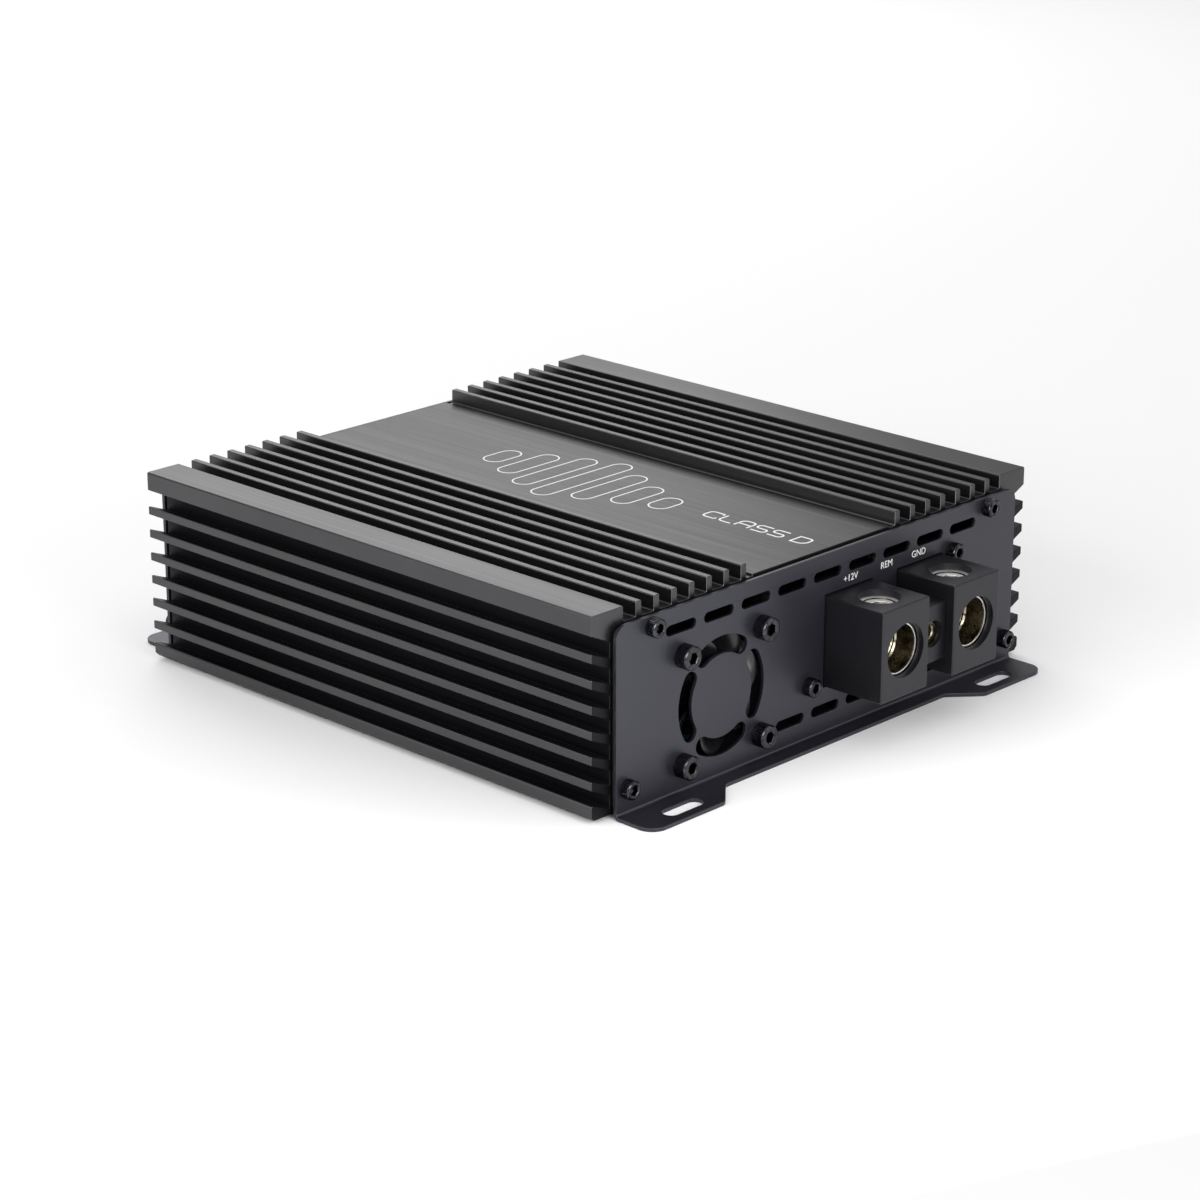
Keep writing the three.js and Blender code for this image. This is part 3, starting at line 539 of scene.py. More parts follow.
def finish(name, colour, rough, *bumps, spread=(0.3, 0.7), **constants):
    """colour is (noise, dark, light), rough is (noise, least, most), each bump is (noise, mm, strength)."""
    n = Nodes(name, **constants)
    pattern, dark, light = colour
    n.colours(n.noise(*pattern), (spread[0], dark), (spread[1], light))
    pattern, least, most = rough
    n.rough(n.noise(*pattern), least, most)
    for pattern, distance, strength in bumps:
        n.bump(n.noise(*pattern), distance, strength)
    return n.material


def even(scale, *detail):
    """A noise with the same scale on each axis."""
    return ((scale, scale, scale), *detail)


def anodised(name, dark, light, least, most):
    """Black anodised extrusion: a fine grain with faint die lines along its length."""
    lines = ((1400, 5, 1400), 2)
    cloud = ((28, 16, 28), 3)
    bumps = ((lines, 0.012, 0.5), (even(3600, 2), 0.012, 0.4))
    return finish(name, (cloud, dark, light), (lines, least, most), *bumps, Metallic=1)


def gloss_plastic(name, dark, light):
    """Smooth plastic with a trace of flow marks and handling haze."""
    flow = ((180, 180, 60), 4)
    return finish(name, (flow, dark, light), (flow, 0.2, 0.34), (flow, 0.01, 0.2), IOR=1.5)


def plated(name, dark, light, least=0.16, most=0.34, marks=0.02):
    """Plated brass: slightly warm, with machining marks under the plating."""
    tarnish = even(260, 5, 0.65)
    colour, rough = (tarnish, dark, light), (tarnish, least, most)
    return finish(name, colour, rough, (even(2400, 3), marks, 0.5), spread=(0.38, 0.64), Metallic=1)


def lens(name, dark, light):
    """A tinted, unlit lens."""
    depth = even(400, 2)
    return finish(name, (depth, dark, light), (depth, 0.08, 0.16), (depth, 0.01, 0.2), IOR=1.49)


def solder_mask():
    """A green board with a web of lighter tracks under the mask."""
    n = Nodes("solder_mask", IOR=1.52)
    web = n.cells((320, 320, 1))
    n.colours(web, (0.0, (0.03, 0.2, 0.09)), (0.12, (0.012, 0.09, 0.045)), (1.0, (0.01, 0.07, 0.035)))
    n.rough(n.noise(*even(700, 2)), 0.22, 0.36)
    n.bump(web, 0.02, 0.4)
    return n.material


STROKES = ((2600, 9, 2600), 3, 0.6)
BROAD = ((420, 4, 420), 2)
COAT_CLOUD = even(24, 3)
WEAR = even(900, 4, 0.6)
SPARK = even(3400, 3, 0.6)
PORES = even(2600, 4, 0.7)
ENAMEL = even(500, 3)
MILL_LINES = ((1800, 12, 1800), 3)
SPECKLE = even(2600, 3)

ANODISED = anodised("anodised", (0.07, 0.07, 0.073), (0.086, 0.086, 0.089), 0.3, 0.4)
# Painted shade: the walls and fin faces inside the side grooves get a darker, rougher copy of the anodised
# finish, standing in for the shade between the side fins
GROOVE_SHADE = anodised("anodised_painted_groove_shade", (0.018, 0.018, 0.021), (0.026, 0.026, 0.03), 0.46, 0.56)
# The centre plate was brushed along its length before it was anodised
BRUSHED = finish(
    "brushed_plate",
    (BROAD, (0.05, 0.05, 0.051), (0.076, 0.076, 0.077)),
    (STROKES, 0.3, 0.46),
    (STROKES, 0.02, 0.7),
    Metallic=1,
)
# Satin powder coat: fine orange peel with a few slightly shinier patches
POWDER = finish(
    "powder_coat",
    (COAT_CLOUD, (0.006, 0.006, 0.009), (0.009, 0.009, 0.013)),
    (COAT_CLOUD, 0.36, 0.46),
    (even(1500, 2), 0.03, 0.35),
    (even(6500, 1), 0.01, 0.3),
    IOR=1.6,
    Specular_Tint=(0.86, 0.86, 1.0, 1.0),
)
# Black oxide on steel: dark, with the metal's sheen on its edges
OXIDE = finish(
    "black_oxide",
    (WEAR, (0.03, 0.03, 0.034), (0.085, 0.085, 0.095)),
    (WEAR, 0.1, 0.2),
    (WEAR, 0.01, 0.3),
    spread=(0.35, 0.75),
    Metallic=1,
)
# Matte moulded plastic with the fine spark-eroded texture of its mould
PLASTIC = finish(
    "moulded_plastic",
    (even(60, 3), (0.002, 0.002, 0.003), (0.004, 0.004, 0.005)),
    (SPARK, 0.34, 0.46),
    (SPARK, 0.03, 0.5),
    IOR=1.5,
    Specular_Tint=(0.92, 0.9, 1.0, 1.0),
)
GLOSS = gloss_plastic("gloss_plastic", (0.003, 0.003, 0.004), (0.006, 0.006, 0.007))
SLEEVE = gloss_plastic("capacitor_sleeve", (0.008, 0.01, 0.02), (0.014, 0.018, 0.034))
RUBBER = finish(
    "seal_rubber",
    (PORES, (0.006, 0.006, 0.006), (0.014, 0.014, 0.014)),
    (PORES, 0.75, 0.92),
    (PORES, 0.05, 0.6),
    IOR=1.45,
)
NICKEL = plated("nickel_plate", (0.05, 0.042, 0.026), (0.5, 0.46, 0.35), 0.1, 0.24, 0.06)
TARNISHED = plated("tarnished_nickel", (0.07, 0.058, 0.036), (0.4, 0.35, 0.25), 0.16, 0.3, 0.2)
BRIGHT = plated("bright_nickel", (0.84, 0.83, 0.79), (0.93, 0.92, 0.89), 0.18, 0.28)
# Painted light: near-white, rough nickel for the up-facing faces of the clamps and set screws, standing in
# for light falling on them from above
TOP_LIGHT_NICKEL = plated("nickel_painted_top_light", (0.93, 0.92, 0.9), (0.98, 0.97, 0.95), 0.55, 0.7)
GOLD = plated("gold_plate", (0.62, 0.4, 0.12), (0.86, 0.64, 0.28))
MASK = solder_mask()
WIRE = finish(
    "enamelled_wire",
    (ENAMEL, (0.36, 0.13, 0.04), (0.6, 0.26, 0.09)),
    (ENAMEL, 0.24, 0.4),
    (ENAMEL, 0.02, 0.3),
    Metallic=0.9,
    IOR=1.5,
)
MILL = finish(
    "mill_aluminium",
    (MILL_LINES, (0.5, 0.51, 0.52), (0.64, 0.65, 0.66)),
    (MILL_LINES, 0.3, 0.46),
    (MILL_LINES, 0.02, 0.5),
    Metallic=1,
)
BLUE = lens("blue_lens", (0.02, 0.08, 0.4), (0.05, 0.16, 0.62))
RED = lens("red_lens", (0.4, 0.01, 0.01), (0.6, 0.03, 0.02))
INK = finish(
    "white_ink",
    (SPECKLE, (0.74, 0.74, 0.73), (0.86, 0.86, 0.85)),
    (SPECKLE, 0.4, 0.55),
    (SPECKLE, 0.01, 0.3),
    IOR=1.5,
)
WHITE_RING = gloss_plastic("white_ring", (0.6, 0.6, 0.58), (0.7, 0.7, 0.68))
RED_RING = gloss_plastic("red_ring", (0.4, 0.015, 0.012), (0.5, 0.025, 0.02))

# ---- camera, floor and light

CAMERA_AT = (-684.3, -663.2, 354.5)
AZIMUTH = math.radians(-45.97)
ELEVATION = math.radians(19.39)
SENSOR = 36
LENS = 100.1


def make_camera():
    data = bpy.data.cameras.new("camera")
    data.sensor_width = SENSOR
    data.lens = LENS
    data.clip_start = 0.01
    data.clip_end = 20
    cam = bpy.data.objects.new("camera", data)
    level = math.cos(ELEVATION)
    back = Vector((math.sin(AZIMUTH) * level, -math.cos(AZIMUTH) * level, math.sin(ELEVATION)))
    right = Vector((math.cos(AZIMUTH), math.sin(AZIMUTH), 0))
    up = back.cross(right)
    facing = Matrix((right, up, back)).transposed().to_4x4()
    cam.matrix_world = Matrix.Translation([c * MM for c in CAMERA_AT]) @ facing
    bpy.context.scene.collection.objects.link(cam)
    bpy.context.scene.camera = cam


def make_floor():
    mesh = bpy.data.meshes.new("floor")
    size = 18
    corners = [(sx * size, sy * size, 0) for sx, sy in ((-1, -1), (1, -1), (1, 1), (-1, 1))]
    mesh.from_pydata(corners, [], [(0, 1, 2, 3)])
    floor = bpy.data.objects.new("floor", mesh)
    bpy.context.scene.collection.objects.link(floor)
    n = Nodes("floor", Roughness=0.9)
    n.shader.inputs["Base Color"].default_value = (0.95, 0.95, 0.95, 1)
    n.shader.inputs["Specular IOR Level"].default_value = 0.1
    mesh.materials.append(n.material)


def area_light(name, at, aim, size, power):
    data = bpy.data.lights.new(name, "AREA")
    data.shape = "RECTANGLE"
    data.size, data.size_y = size
    data.energy = power
    light = bpy.data.objects.new(name, data)
    light.location = at
    light.rotation_euler = (Vector(aim) - Vector(at)).to_track_quat("-Z", "Y").to_euler()
    light.visible_camera = False
    bpy.context.scene.collection.objects.link(light)


# Each softbox: where it hangs, its width and height, and its brightness
SOFTBOXES = {
    "back_box": ((0.64, 1.11, 0.82), (1.1, 0.72), 2.6),
    "left_box": ((-1.2, 0.1, 0.5), (1.5, 0.9), 2.9),
    "near_box": ((-0.12, -0.28, 0.1), (0.16, 0.1), 8.4),
    "right_box": ((0.7, -1.1, 0.4), (0.8, 0.5), 2.0),
}
# How bright the studio's walls are at some heights above the horizon, from 0 to 1 overhead
WALLS = ((0.0, 0.3), (0.3, 0.3), (0.4, 0.62), (0.6, 0.62), (0.75, 1.0), (1.0, 1.0))
WALL_STRENGTH = 0.82


def make_light():
    """A white studio whose walls grow brighter towards the ceiling, with softboxes round the object."""
    world = bpy.data.worlds.new("studio")
    world.use_nodes = True
    tree = world.node_tree
    where = tree.nodes.new("ShaderNodeTexCoord")
    split = tree.nodes.new("ShaderNodeSeparateXYZ")
    ramp = tree.nodes.new("ShaderNodeValToRGB")
    tree.links.new(where.outputs["Generated"], split.inputs["Vector"])
    tree.links.new(split.outputs["Z"], ramp.inputs["Fac"])
    tree.links.new(ramp.outputs["Color"], tree.nodes["Background"].inputs["Color"])
    set_stops(ramp, [(position, (level, level, level)) for position, level in WALLS])
    tree.nodes["Background"].inputs["Strength"].default_value = WALL_STRENGTH
    bpy.context.scene.world = world
    for name, (at, size, brightness) in SOFTBOXES.items():
        area_light(name, at, (0, 0, 0.03), size, brightness * math.pi * size[0] * size[1])
    bpy.context.scene.view_settings.view_transform = "Standard"


# ---- housing


def housing_profile():
    """The housing's right half, from the middle of the top plate round to the middle of the ceiling."""
    edge, root, side_root = 0.35, 0.5, 0.12
    points = [(0, PLATE_Z), (PLATE_HALF, PLATE_Z, 0.15), (PLATE_HALF, FLOOR_Z, 0.1)]
    for i in reversed(range(TOP_FINS)):
        right = FIN_OUTER - i * FIN_PITCH
        left = right - FIN_THICK
        points += [(left, FLOOR_Z, root), (left, HEIGHT, edge), (right, HEIGHT, edge), (right, FLOOR_Z, root)]
    under = HEIGHT - TOP_RAIL_FACE
    points += [(RAIL_INNER, FLOOR_Z, root), (RAIL_INNER, HEIGHT, edge), (HALF, HEIGHT, 0.6)]
    points += [(HALF, under, 0.3), (WALL_X, under - SIDE_DROP_UNDER, side_root)]
    for i in range(SIDE_FINS):
        top = SIDE_FIRST - i * SIDE_PITCH
        below = top - SIDE_TIP
        points += [(WALL_X, top - SIDE_DROP, side_root), (HALF, top, 0.3), (HALF, below, 0.3)]
        points += [(WALL_X, below - SIDE_DROP_UNDER, side_root)]
    points += [(WALL_X, BOTTOM_RAIL_FACE - SIDE_DROP, side_root), (HALF, BOTTOM_RAIL_FACE, 0.6)]
    # The foot's chamfer, the groove for the cover with the ledge above it, and the rib under the ceiling
    chamfer, mouth, groove, ledge = 1.2, 83, 85.6, 78.7
    groove_low, groove_high, ledge_top = 1, 2.8, 10.8
    rib_outer, rib_inner, rib_z = 76, 69, 47.7
    points += [(HALF, chamfer, 0.2), (HALF - chamfer, 0, 0.2), (mouth, 0, 0.2), (mouth, groove_low, 0.1)]
    points += [(groove, groove_low), (groove, groove_high), (ledge, groove_high), (ledge, ledge_top)]
    points += [(WALL_IN, ledge_top), (WALL_IN, CEILING_Z), (rib_outer, CEILING_Z), (rib_outer, rib_z)]
    points += [(rib_inner, rib_z), (rib_inner, CEILING_Z), (0, CEILING_Z)]
    return points


def make_housing():
    loop = rounded(mirrored(housing_profile()), steps=3)
    solid = moved(slab([loop], -FAR_Y, -NEAR_Y, 0.12, 1), UPRIGHT)
    obj = piece("finned_housing", solid, HOUSING, ANODISED, ["heatsink_housing"])
    obj.data.materials.append(BRUSHED)
    obj.data.materials.append(GROOVE_SHADE)
    brushed, groove = 1, 2
    for face in obj.data.polygons:
        from_middle, z = abs(face.center.x) / MM, face.center.z / MM - BASE_Z
        if from_middle < PLATE_HALF and PLATE_Z - 0.1 < z < PLATE_Z + 0.2 and face.normal.z > 0.9:
            face.material_index = brushed
        # Faces inside the side grooves take the painted groove shade
        if WALL_X - 0.2 < from_middle < HALF - 0.5 and z < HEIGHT - TOP_RAIL_FACE:
            face.material_index = groove


def make_emblem():
    """A generic mark of outlined bars, and a plain word for the kind of amplifier, along the centre plate."""
    heights = (14, 24, 34, 41, 30, 20, 12)
    pitch, width, line = 11.4, 7.6, 0.5
    middle_y, middle_x = NEAR_Y + 95, 0.5
    rings = []
    for i, height in enumerate(heights):
        y = middle_y - (i - (len(heights) - 1) / 2) * pitch
        outer = obround(middle_x, y, height, width, 14)
        inner = obround(middle_x, y, height - 2 * line, width - 2 * line, 14)
        rings.append(slab([outer, inner], PLATE_Z, PLATE_Z + INK_T, 0))
    piece("bar_mark", combined(*rings), HOUSING, INK)
    make_word()


# The wide letters of the plain word: open strokes in a unit square, each corner with its radius
LETTERS = {
    "C": [[(1, 0.8, 0), (1, 1, 0.22), (0, 1, 0.3), (0, 0, 0.3), (1, 0, 0.22), (1, 0.2, 0)]],
    "L": [[(0, 1, 0), (0, 0, 0.3), (1, 0, 0)]],
    "A": [[(0, 0, 0), (0, 1, 0.34), (1, 1, 0.34), (1, 0, 0)], [(0, 0.42, 0), (1, 0.42, 0)]],
    "S": [[(0.98, 1, 0), (0, 1, 0.24), (0, 0.5, 0.24), (1, 0.5, 0.24), (1, 0, 0.24), (0.02, 0, 0)]],
    "D": [[(0.4, 1, 0), (0, 1, 0), (0, 0, 0), (1, 0, 0.48), (1, 1, 0.48), (0.4, 1, 0)]],
}


def ribbon(path, width):
    """The closed outline of a stroke of even width along an open path."""
    sides = [[], []]
    for i, p in enumerate(path):
        ahead = path[min(i + 1, len(path) - 1)]
        behind = path[max(i - 1, 0)]
        a = (p - behind if i else ahead - p).normalized()
        b = (ahead - p if i < len(path) - 1 else p - behind).normalized()
        reach = mitre(a, b, width / 2)
        sides[0].append(p + reach)
        sides[1].append(p - reach)
    return sides[0] + sides[1][::-1]


def make_word():
    """The word runs toward the terminal end and is read from the left-hand side."""
    tall, wide, gap, space, line = 5.0, 4.9, 1.4, 3.9, 0.62
    base_x, start_y = -0.3, NEAR_Y + 45.8
    along, strokes = 0.0, []
    for letter in "CLASS D":
        if letter == " ":
            along += space - gap
            continue
        for stroke in LETTERS[letter]:
            path = rounded([(u * wide, v * tall, r * tall) for u, v, r in stroke], steps=5)
            path = clean(path, closed=False)
            outline = [Vector((base_x + p.y, start_y - along - p.x)) for p in ribbon(path, line)]
            strokes.append(slab([outline], PLATE_Z, PLATE_Z + INK_T, 0))
        along += wide + gap
    piece("class_word", combined(*strokes), HOUSING, INK)


# ---- screws


def socketed(profile, sides, flats, steps, bottom, wave=None):
    """A turned solid with a hex socket in its top. steps are (reach past the flats, z) down its wall."""
    verts, faces = lathe(profile, sides, wave)
    # The last face closed the top: the socket takes its place
    faces.pop()
    rings = [range(len(verts) - sides, len(verts))]
    sixth = math.pi / 3
    for extra, z in steps:
        rings.append(range(len(verts), len(verts) + sides))
        for k in range(sides):
            a = 2 * math.pi * k / sides
            r = flats / 2 / math.cos(a % sixth - sixth / 2) + extra
            verts.append(Vector((r * math.cos(a), r * math.sin(a), z)))
    for a, b in zip(rings, rings[1:]):
        faces += [(a[k], b[k], b[(k + 1) % sides], a[(k + 1) % sides]) for k in range(sides)]
    tip, last = len(verts), rings[-1]
    verts.append(Vector((0, 0, bottom)))
    faces += [(last[k], tip, last[(k + 1) % sides]) for k in range(sides)]
    return verts, faces


def cap_screw(head, height, shank, length, flats):
    """A socket-head cap screw along Z: its head reaches up to height and its shank down to -length."""
    teeth = 32
    chamfer, knurl_depth = 0.2, 0.11
    knurl_low, knurl_high = 0.25, height - 0.5

    def knurl(angle, r, z):
        rim = r > head - 0.12 and knurl_low < z < knurl_high
        return r - knurl_depth * (0.5 + 0.5 * math.cos(angle * teeth)) if rim else r

    profile = [(0, -length), (shank - chamfer, -length), (shank, chamfer - length), (shank, 0)]
    profile += [(head - 0.1, 0), (head - 0.02, 0.15)]
    profile += [(head, 0.3 + (height - 0.85) * k / 4) for k in range(5)]
    profile += [(head, height - 0.45), (head - 0.06, height - 0.3), (head - 0.4, height - 0.03)]
    profile += [(head - 0.55, height), (flats / math.sqrt(3) + 0.22, height)]
    steps = ((0.1, height - 0.12), (0.0, height - 0.25), (0.0, height * 0.42))
    return socketed(profile, teeth * 4, flats, steps, height * 0.3, knurl)


def screw_out(x, z, turn):
    """Stands a screw on an end panel: its Z axis points outward, along -Y."""
    place = Matrix.Translation((x, PANEL_OUT - FIT, z)) @ OUTWARD
    return place @ Matrix.Rotation(turn, 4, "Z")


def make_cap_screws():
    seeded = random.Random(7)
    m3 = cap_screw(2.75, 3, 1.2, 12.2, 2.5)
    m4 = cap_screw(3.5, 4, 1.6, 14.2, 3)
    short = cap_screw(2.75, 3, 1.2, 5.4, 2.5)
    corners = ("upper_left", "upper_right", "lower_left", "lower_right")
    jobs = []
    for matrix, prefix in ((TERMINAL, "terminal_panel"), (CONTROL, "control_panel")):
        for (x, z), corner in zip(PANEL_SCREWS, corners):
            jobs.append((f"{prefix}_screw_{corner}", m3, x, z, matrix))
    for i, (x, z) in enumerate(FAN_HOLES):
        jobs.append((f"fan_screw_{i + 1}", m4, x, z, TERMINAL))
    for name, (x, z) in zip(("lower", "upper"), TERMINAL_SCREWS):
        jobs.append((f"terminal_screw_{name}", short, x, z, TERMINAL))
    for node, solid, x, z, matrix in jobs:
        place = screw_out(x, z, seeded.uniform(0, math.pi / 3))
        piece(f"{node}_cap", solid, matrix @ place, OXIDE, [node])


def set_screw(radius, length, flats, pitch):
    """A threaded set screw along Z with its top at z 0 and a hex socket."""
    root = radius - 0.42 * pitch
    point_radius, point_rise = 0.62 * radius, 0.35 * radius
    top, bottom = -0.1 * radius, point_rise - length
    turns = max(2, round((top - bottom) / pitch))
    step = (top - bottom) / turns
    profile = [(0, -length), (point_radius, -length), (root, bottom)]
    for k in range(turns):
        base = bottom + k * step
        profile += [(root, base + step * 0.12), (radius, base + step * 0.45), (radius, base + step * 0.6)]
    profile += [(0.96 * radius, top), (0.92 * radius, 0)]
    steps = ((0.12, 0.0), (0.0, -0.15), (0.0, -0.55 * length))
    return socketed(profile, 48, flats, steps, -0.65 * length)


# ---- end panels


def bend(point):
    """Takes a point of the flat sheet, (x, along it, depth below its outer face), to its bent place."""
    x, v, depth = point
    centre_y, centre_z = PANEL_OUT - BEND_R, BEND_R
    if v >= 0:
        return Vector((x, PANEL_OUT + depth, BEND_R + v))
    if v <= -BEND_LENGTH:
        return Vector((x, centre_y + v + BEND_LENGTH, -depth))
    turn = v / BEND_LENGTH * math.pi / 2
    reach = BEND_R + depth
    return Vector((x, centre_y + reach * math.cos(turn), centre_z + reach * math.sin(turn)))


def on_flange(y):
    return y - (PANEL_OUT - BEND_R) - BEND_LENGTH


def bent_sheet(holes):
    """A panel's flat blank with its holes, given in x and height, then bent into its lip and feet."""
    top, foot, lip = PANEL_TOP - BEND_R, on_flange(-FOOT_REACH), on_flange(-LIP_REACH)
    half = [(0, lip), (FLARE_INNER, lip, 2.5), (FOOT_INNER, foot, 3), (PANEL_HALF, foot, 5)]
    half += [(PANEL_HALF, top, PANEL_CORNER), (0, top)]
    right = [p for p in half if p[0] > 0]
    left = [(-p[0], *p[1:]) for p in reversed(right)]
    outline = rounded(right + left, steps=10)
    loops = [outline]
    for sx in (-1, 1):
        centre = (sx * FOOT_SLOT["x"], on_flange(FOOT_SLOT["y"]))
        loops.append(obround(*centre, FOOT_SLOT["length"], FOOT_SLOT["width"], 14))
    loops += [[Vector((p.x, p.y - BEND_R)) for p in hole] for hole in holes]
    verts, faces = slab(loops, 0, PANEL_T, 0.18, 2)
    mesh = bpy.data.meshes.new("blank")
    mesh.from_pydata(verts, [], faces)
    work = bmesh.new()
    work.from_mesh(mesh)
    bends = 10
    for k in range(bends + 1):
        everything = work.verts[:] + work.edges[:] + work.faces[:]
        at = (0, -BEND_LENGTH * k / bends, 0)
        bmesh.ops.bisect_plane(work, geom=everything, plane_co=at, plane_no=(0, 1, 0), dist=1e-5)
    bent = [bend(v.co) for v in work.verts]
    work.verts.index_update()
    bent_faces = [tuple(v.index for v in f.verts) for f in work.faces]
    work.free()
    bpy.data.meshes.remove(mesh)
    return bent, bent_faces


def vents(z, start=0):
    middle = (VENT["count"] - 1) / 2
    at = [(i - middle) * VENT["pitch"] for i in range(start, VENT["count"])]
    return [obround(x, z, VENT["length"], VENT["width"], 12) for x in at]


def block_window():
    """The opening for the power terminals: two tall blocks with a low one between them."""
    (x0, x3), (x1, x2) = (BLOCK_X[0] - BLOCK_HALF, BLOCK_X[1] + BLOCK_HALF), (19.8, 31.2)
    x0, x1, x2, x3 = x0 - RUN, x1 + RUN, x2 - RUN, x3 + RUN
    low_z, high_z = BLOCK_Z[0] - RUN, BLOCK_Z[1] + RUN
    low_mid, high_mid = REMOTE_Z[0] - RUN, REMOTE_Z[1] + RUN
    points = [(x0, low_z), (x1, low_z), (x1, low_mid), (x2, low_mid), (x2, low_z), (x3, low_z)]
    points += [(x3, high_z), (x2, high_z), (x2, high_mid), (x1, high_mid), (x1, high_z), (x0, high_z)]
    return rounded(points, 0.3, 2)


def make_terminal_panel():
    middle = (GRILLE["inner"] + GRILLE["outer"]) / 2
    end = (GRILLE["outer"] - GRILLE["inner"]) / 2
    half = math.pi / 4 - (GRILLE["bridge"] / 2 + end) / middle
    holes = [block_window()]
    for k in range(4):
        turn = math.pi / 2 * k
        holes.append(arc_slot(FAN["x"], FAN["z"], GRILLE["inner"], GRILLE["outer"], half, turn))
    holes += [circle(x, z, M4_HOLE_R, 24) for x, z in FAN_HOLES]
    holes += [circle(x, z, M3_HOLE_R, 24) for x, z in TERMINAL_SCREWS + PANEL_SCREWS]
    holes += vents(VENT["top"]) + vents(VENT["bottom"], 3)
    sheet = bent_sheet(holes)
    piece("terminal_panel_sheet", sheet, TERMINAL, POWDER, ["terminal_end_panel"])
    labels = (("plus_label", "+12V", 10), ("remote_label", "REM", 26), ("ground_label", "GND", 40.6))
    for name, word, x in labels:
        lettering(name, word, (x, LABEL_Y, 44.5), 2.9, TERMINAL)


def make_control_panel():
    (x0, x1), (z0, z1) = SPEAKER_SPAN, SPEAKER_Z
    holes = [rectangle(x0 - RUN, x1 + RUN, z0 - RUN, z1 + RUN, 0.4)]
    holes += [circle(x, RCA_Z, RCA_HOLE_R) for x in RCA_X]
    holes += [circle(x, KNOB_Z, SHAFT_HOLE_R, 32) for _, x, _ in KNOBS]
    holes += [circle(LED_X, z, 1.8, 24) for z in LED_Z]
    holes += [circle(x, z, M3_HOLE_R, 24) for x, z in PANEL_SCREWS]
    holes.append(rectangle(*about(PORT[0], 6.8), *about(PORT[1], 6.3), 0.4))
    holes.append(rectangle(*about(SWITCH[0], 3.8), *about(SWITCH[1], 1.8), 0.3))
    holes += vents(VENT["top"]) + vents(VENT["bottom"])
    piece("control_panel_sheet", bent_sheet(holes), CONTROL, POWDER, ["control_end_panel"])
    labels = [(f"{name}_label", word, x, 34.2, 2.3) for name, x, word in KNOBS]
    labels += [("input_label", "INPUT", -62, 38, 2.5), ("left_label", "L", -70, 34, 2.5)]
    labels += [("right_label", "R", -54, 34, 2.5), ("phase_label", "PHASE", -34, 40, 2.3)]
    labels += [("phase_low", "0", -27.6, 40, 2.1), ("phase_high", "180", -15.4, 40, 2.1)]
    labels += [("level_label", "REMOTE", 9, 34.6, 2.3), ("speaker_label", "SPEAKER", 41, 42.6, 2.6)]
    labels += [("speaker_plus", "+", 30, 42.6, 3.4), ("speaker_minus", "-", 52, 42.6, 3.4)]
    labels += [("power_label", "PWR", 77.5, 24, 2), ("protect_label", "PRT", 77.5, 31, 2)]
    for name, word, x, z, size in labels:
        lettering(name, word, (x, LABEL_Y, z), size, CONTROL)
    # A ring of scale dots round each knob
    dots, scale_r, dot_r = [], 4.8, 0.25
    for _, x, _ in KNOBS:
        for k in range(11):
            a = math.radians(-50 + 28 * k)
            dot = circle(x + scale_r * math.cos(a), KNOB_Z + scale_r * math.sin(a), dot_r, 12)
            dots.append(slab([dot], 0, INK_T, 0))
    face = Matrix.Translation((0, PANEL_OUT, 0)) @ OUTWARD
    piece("knob_scales", moved(combined(*dots), face), CONTROL, INK)


# ---- fan


def blade(turn, y0, y1):
    """One swept, twisted blade of the fan's rotor, as a thin closed shell round the Y axis."""
    spans, chords, thick = 10, 8, 0.5
    root, tip = FAN["hub"] - 0.6, FAN["bore"] - 0.8
    middle, reach = (y0 + y1) / 2, (y1 - y0) / 2 - 0.2
    front, back = [], []
    for i in range(spans + 1):
        s = i / spans
        r = root + (tip - root) * s
        width = 0.62 + 0.16 * s
        sweep = 0.5 * s * s
        for j in range(chords + 1):
            c = 2 * j / chords - 1
            angle = turn + sweep + c * width / 2
            camber = 0.9 * (1 - c * c)
            y = middle + reach * c * (1 - 0.15 * s) - camber
            edge = math.sqrt(max(0.0, 1 - c**4)) * thick / 2 + 0.08
            for side, sheet in ((-1, front), (1, back)):
                sheet.append(Vector((r * math.cos(angle), y + side * edge, r * math.sin(angle))))
    n = chords + 1
    verts = front + back
    offset = len(front)
    faces = []
    for i in range(spans):
        for j in range(chords):
            a = i * n + j
            faces.append((a, a + 1, a + n + 1, a + n))
            faces.append((a + offset, a + n + offset, a + n + 1 + offset, a + 1 + offset))
    rim = [i * n for i in range(spans + 1)] + [spans * n + j for j in range(1, n)]
    rim += [i * n + chords for i in reversed(range(spans))] + list(reversed(range(1, chords)))
    for a, b in zip(rim, rim[1:] + rim[:1]):
        faces.append((a, b, b + offset, a + offset))
    return verts, faces


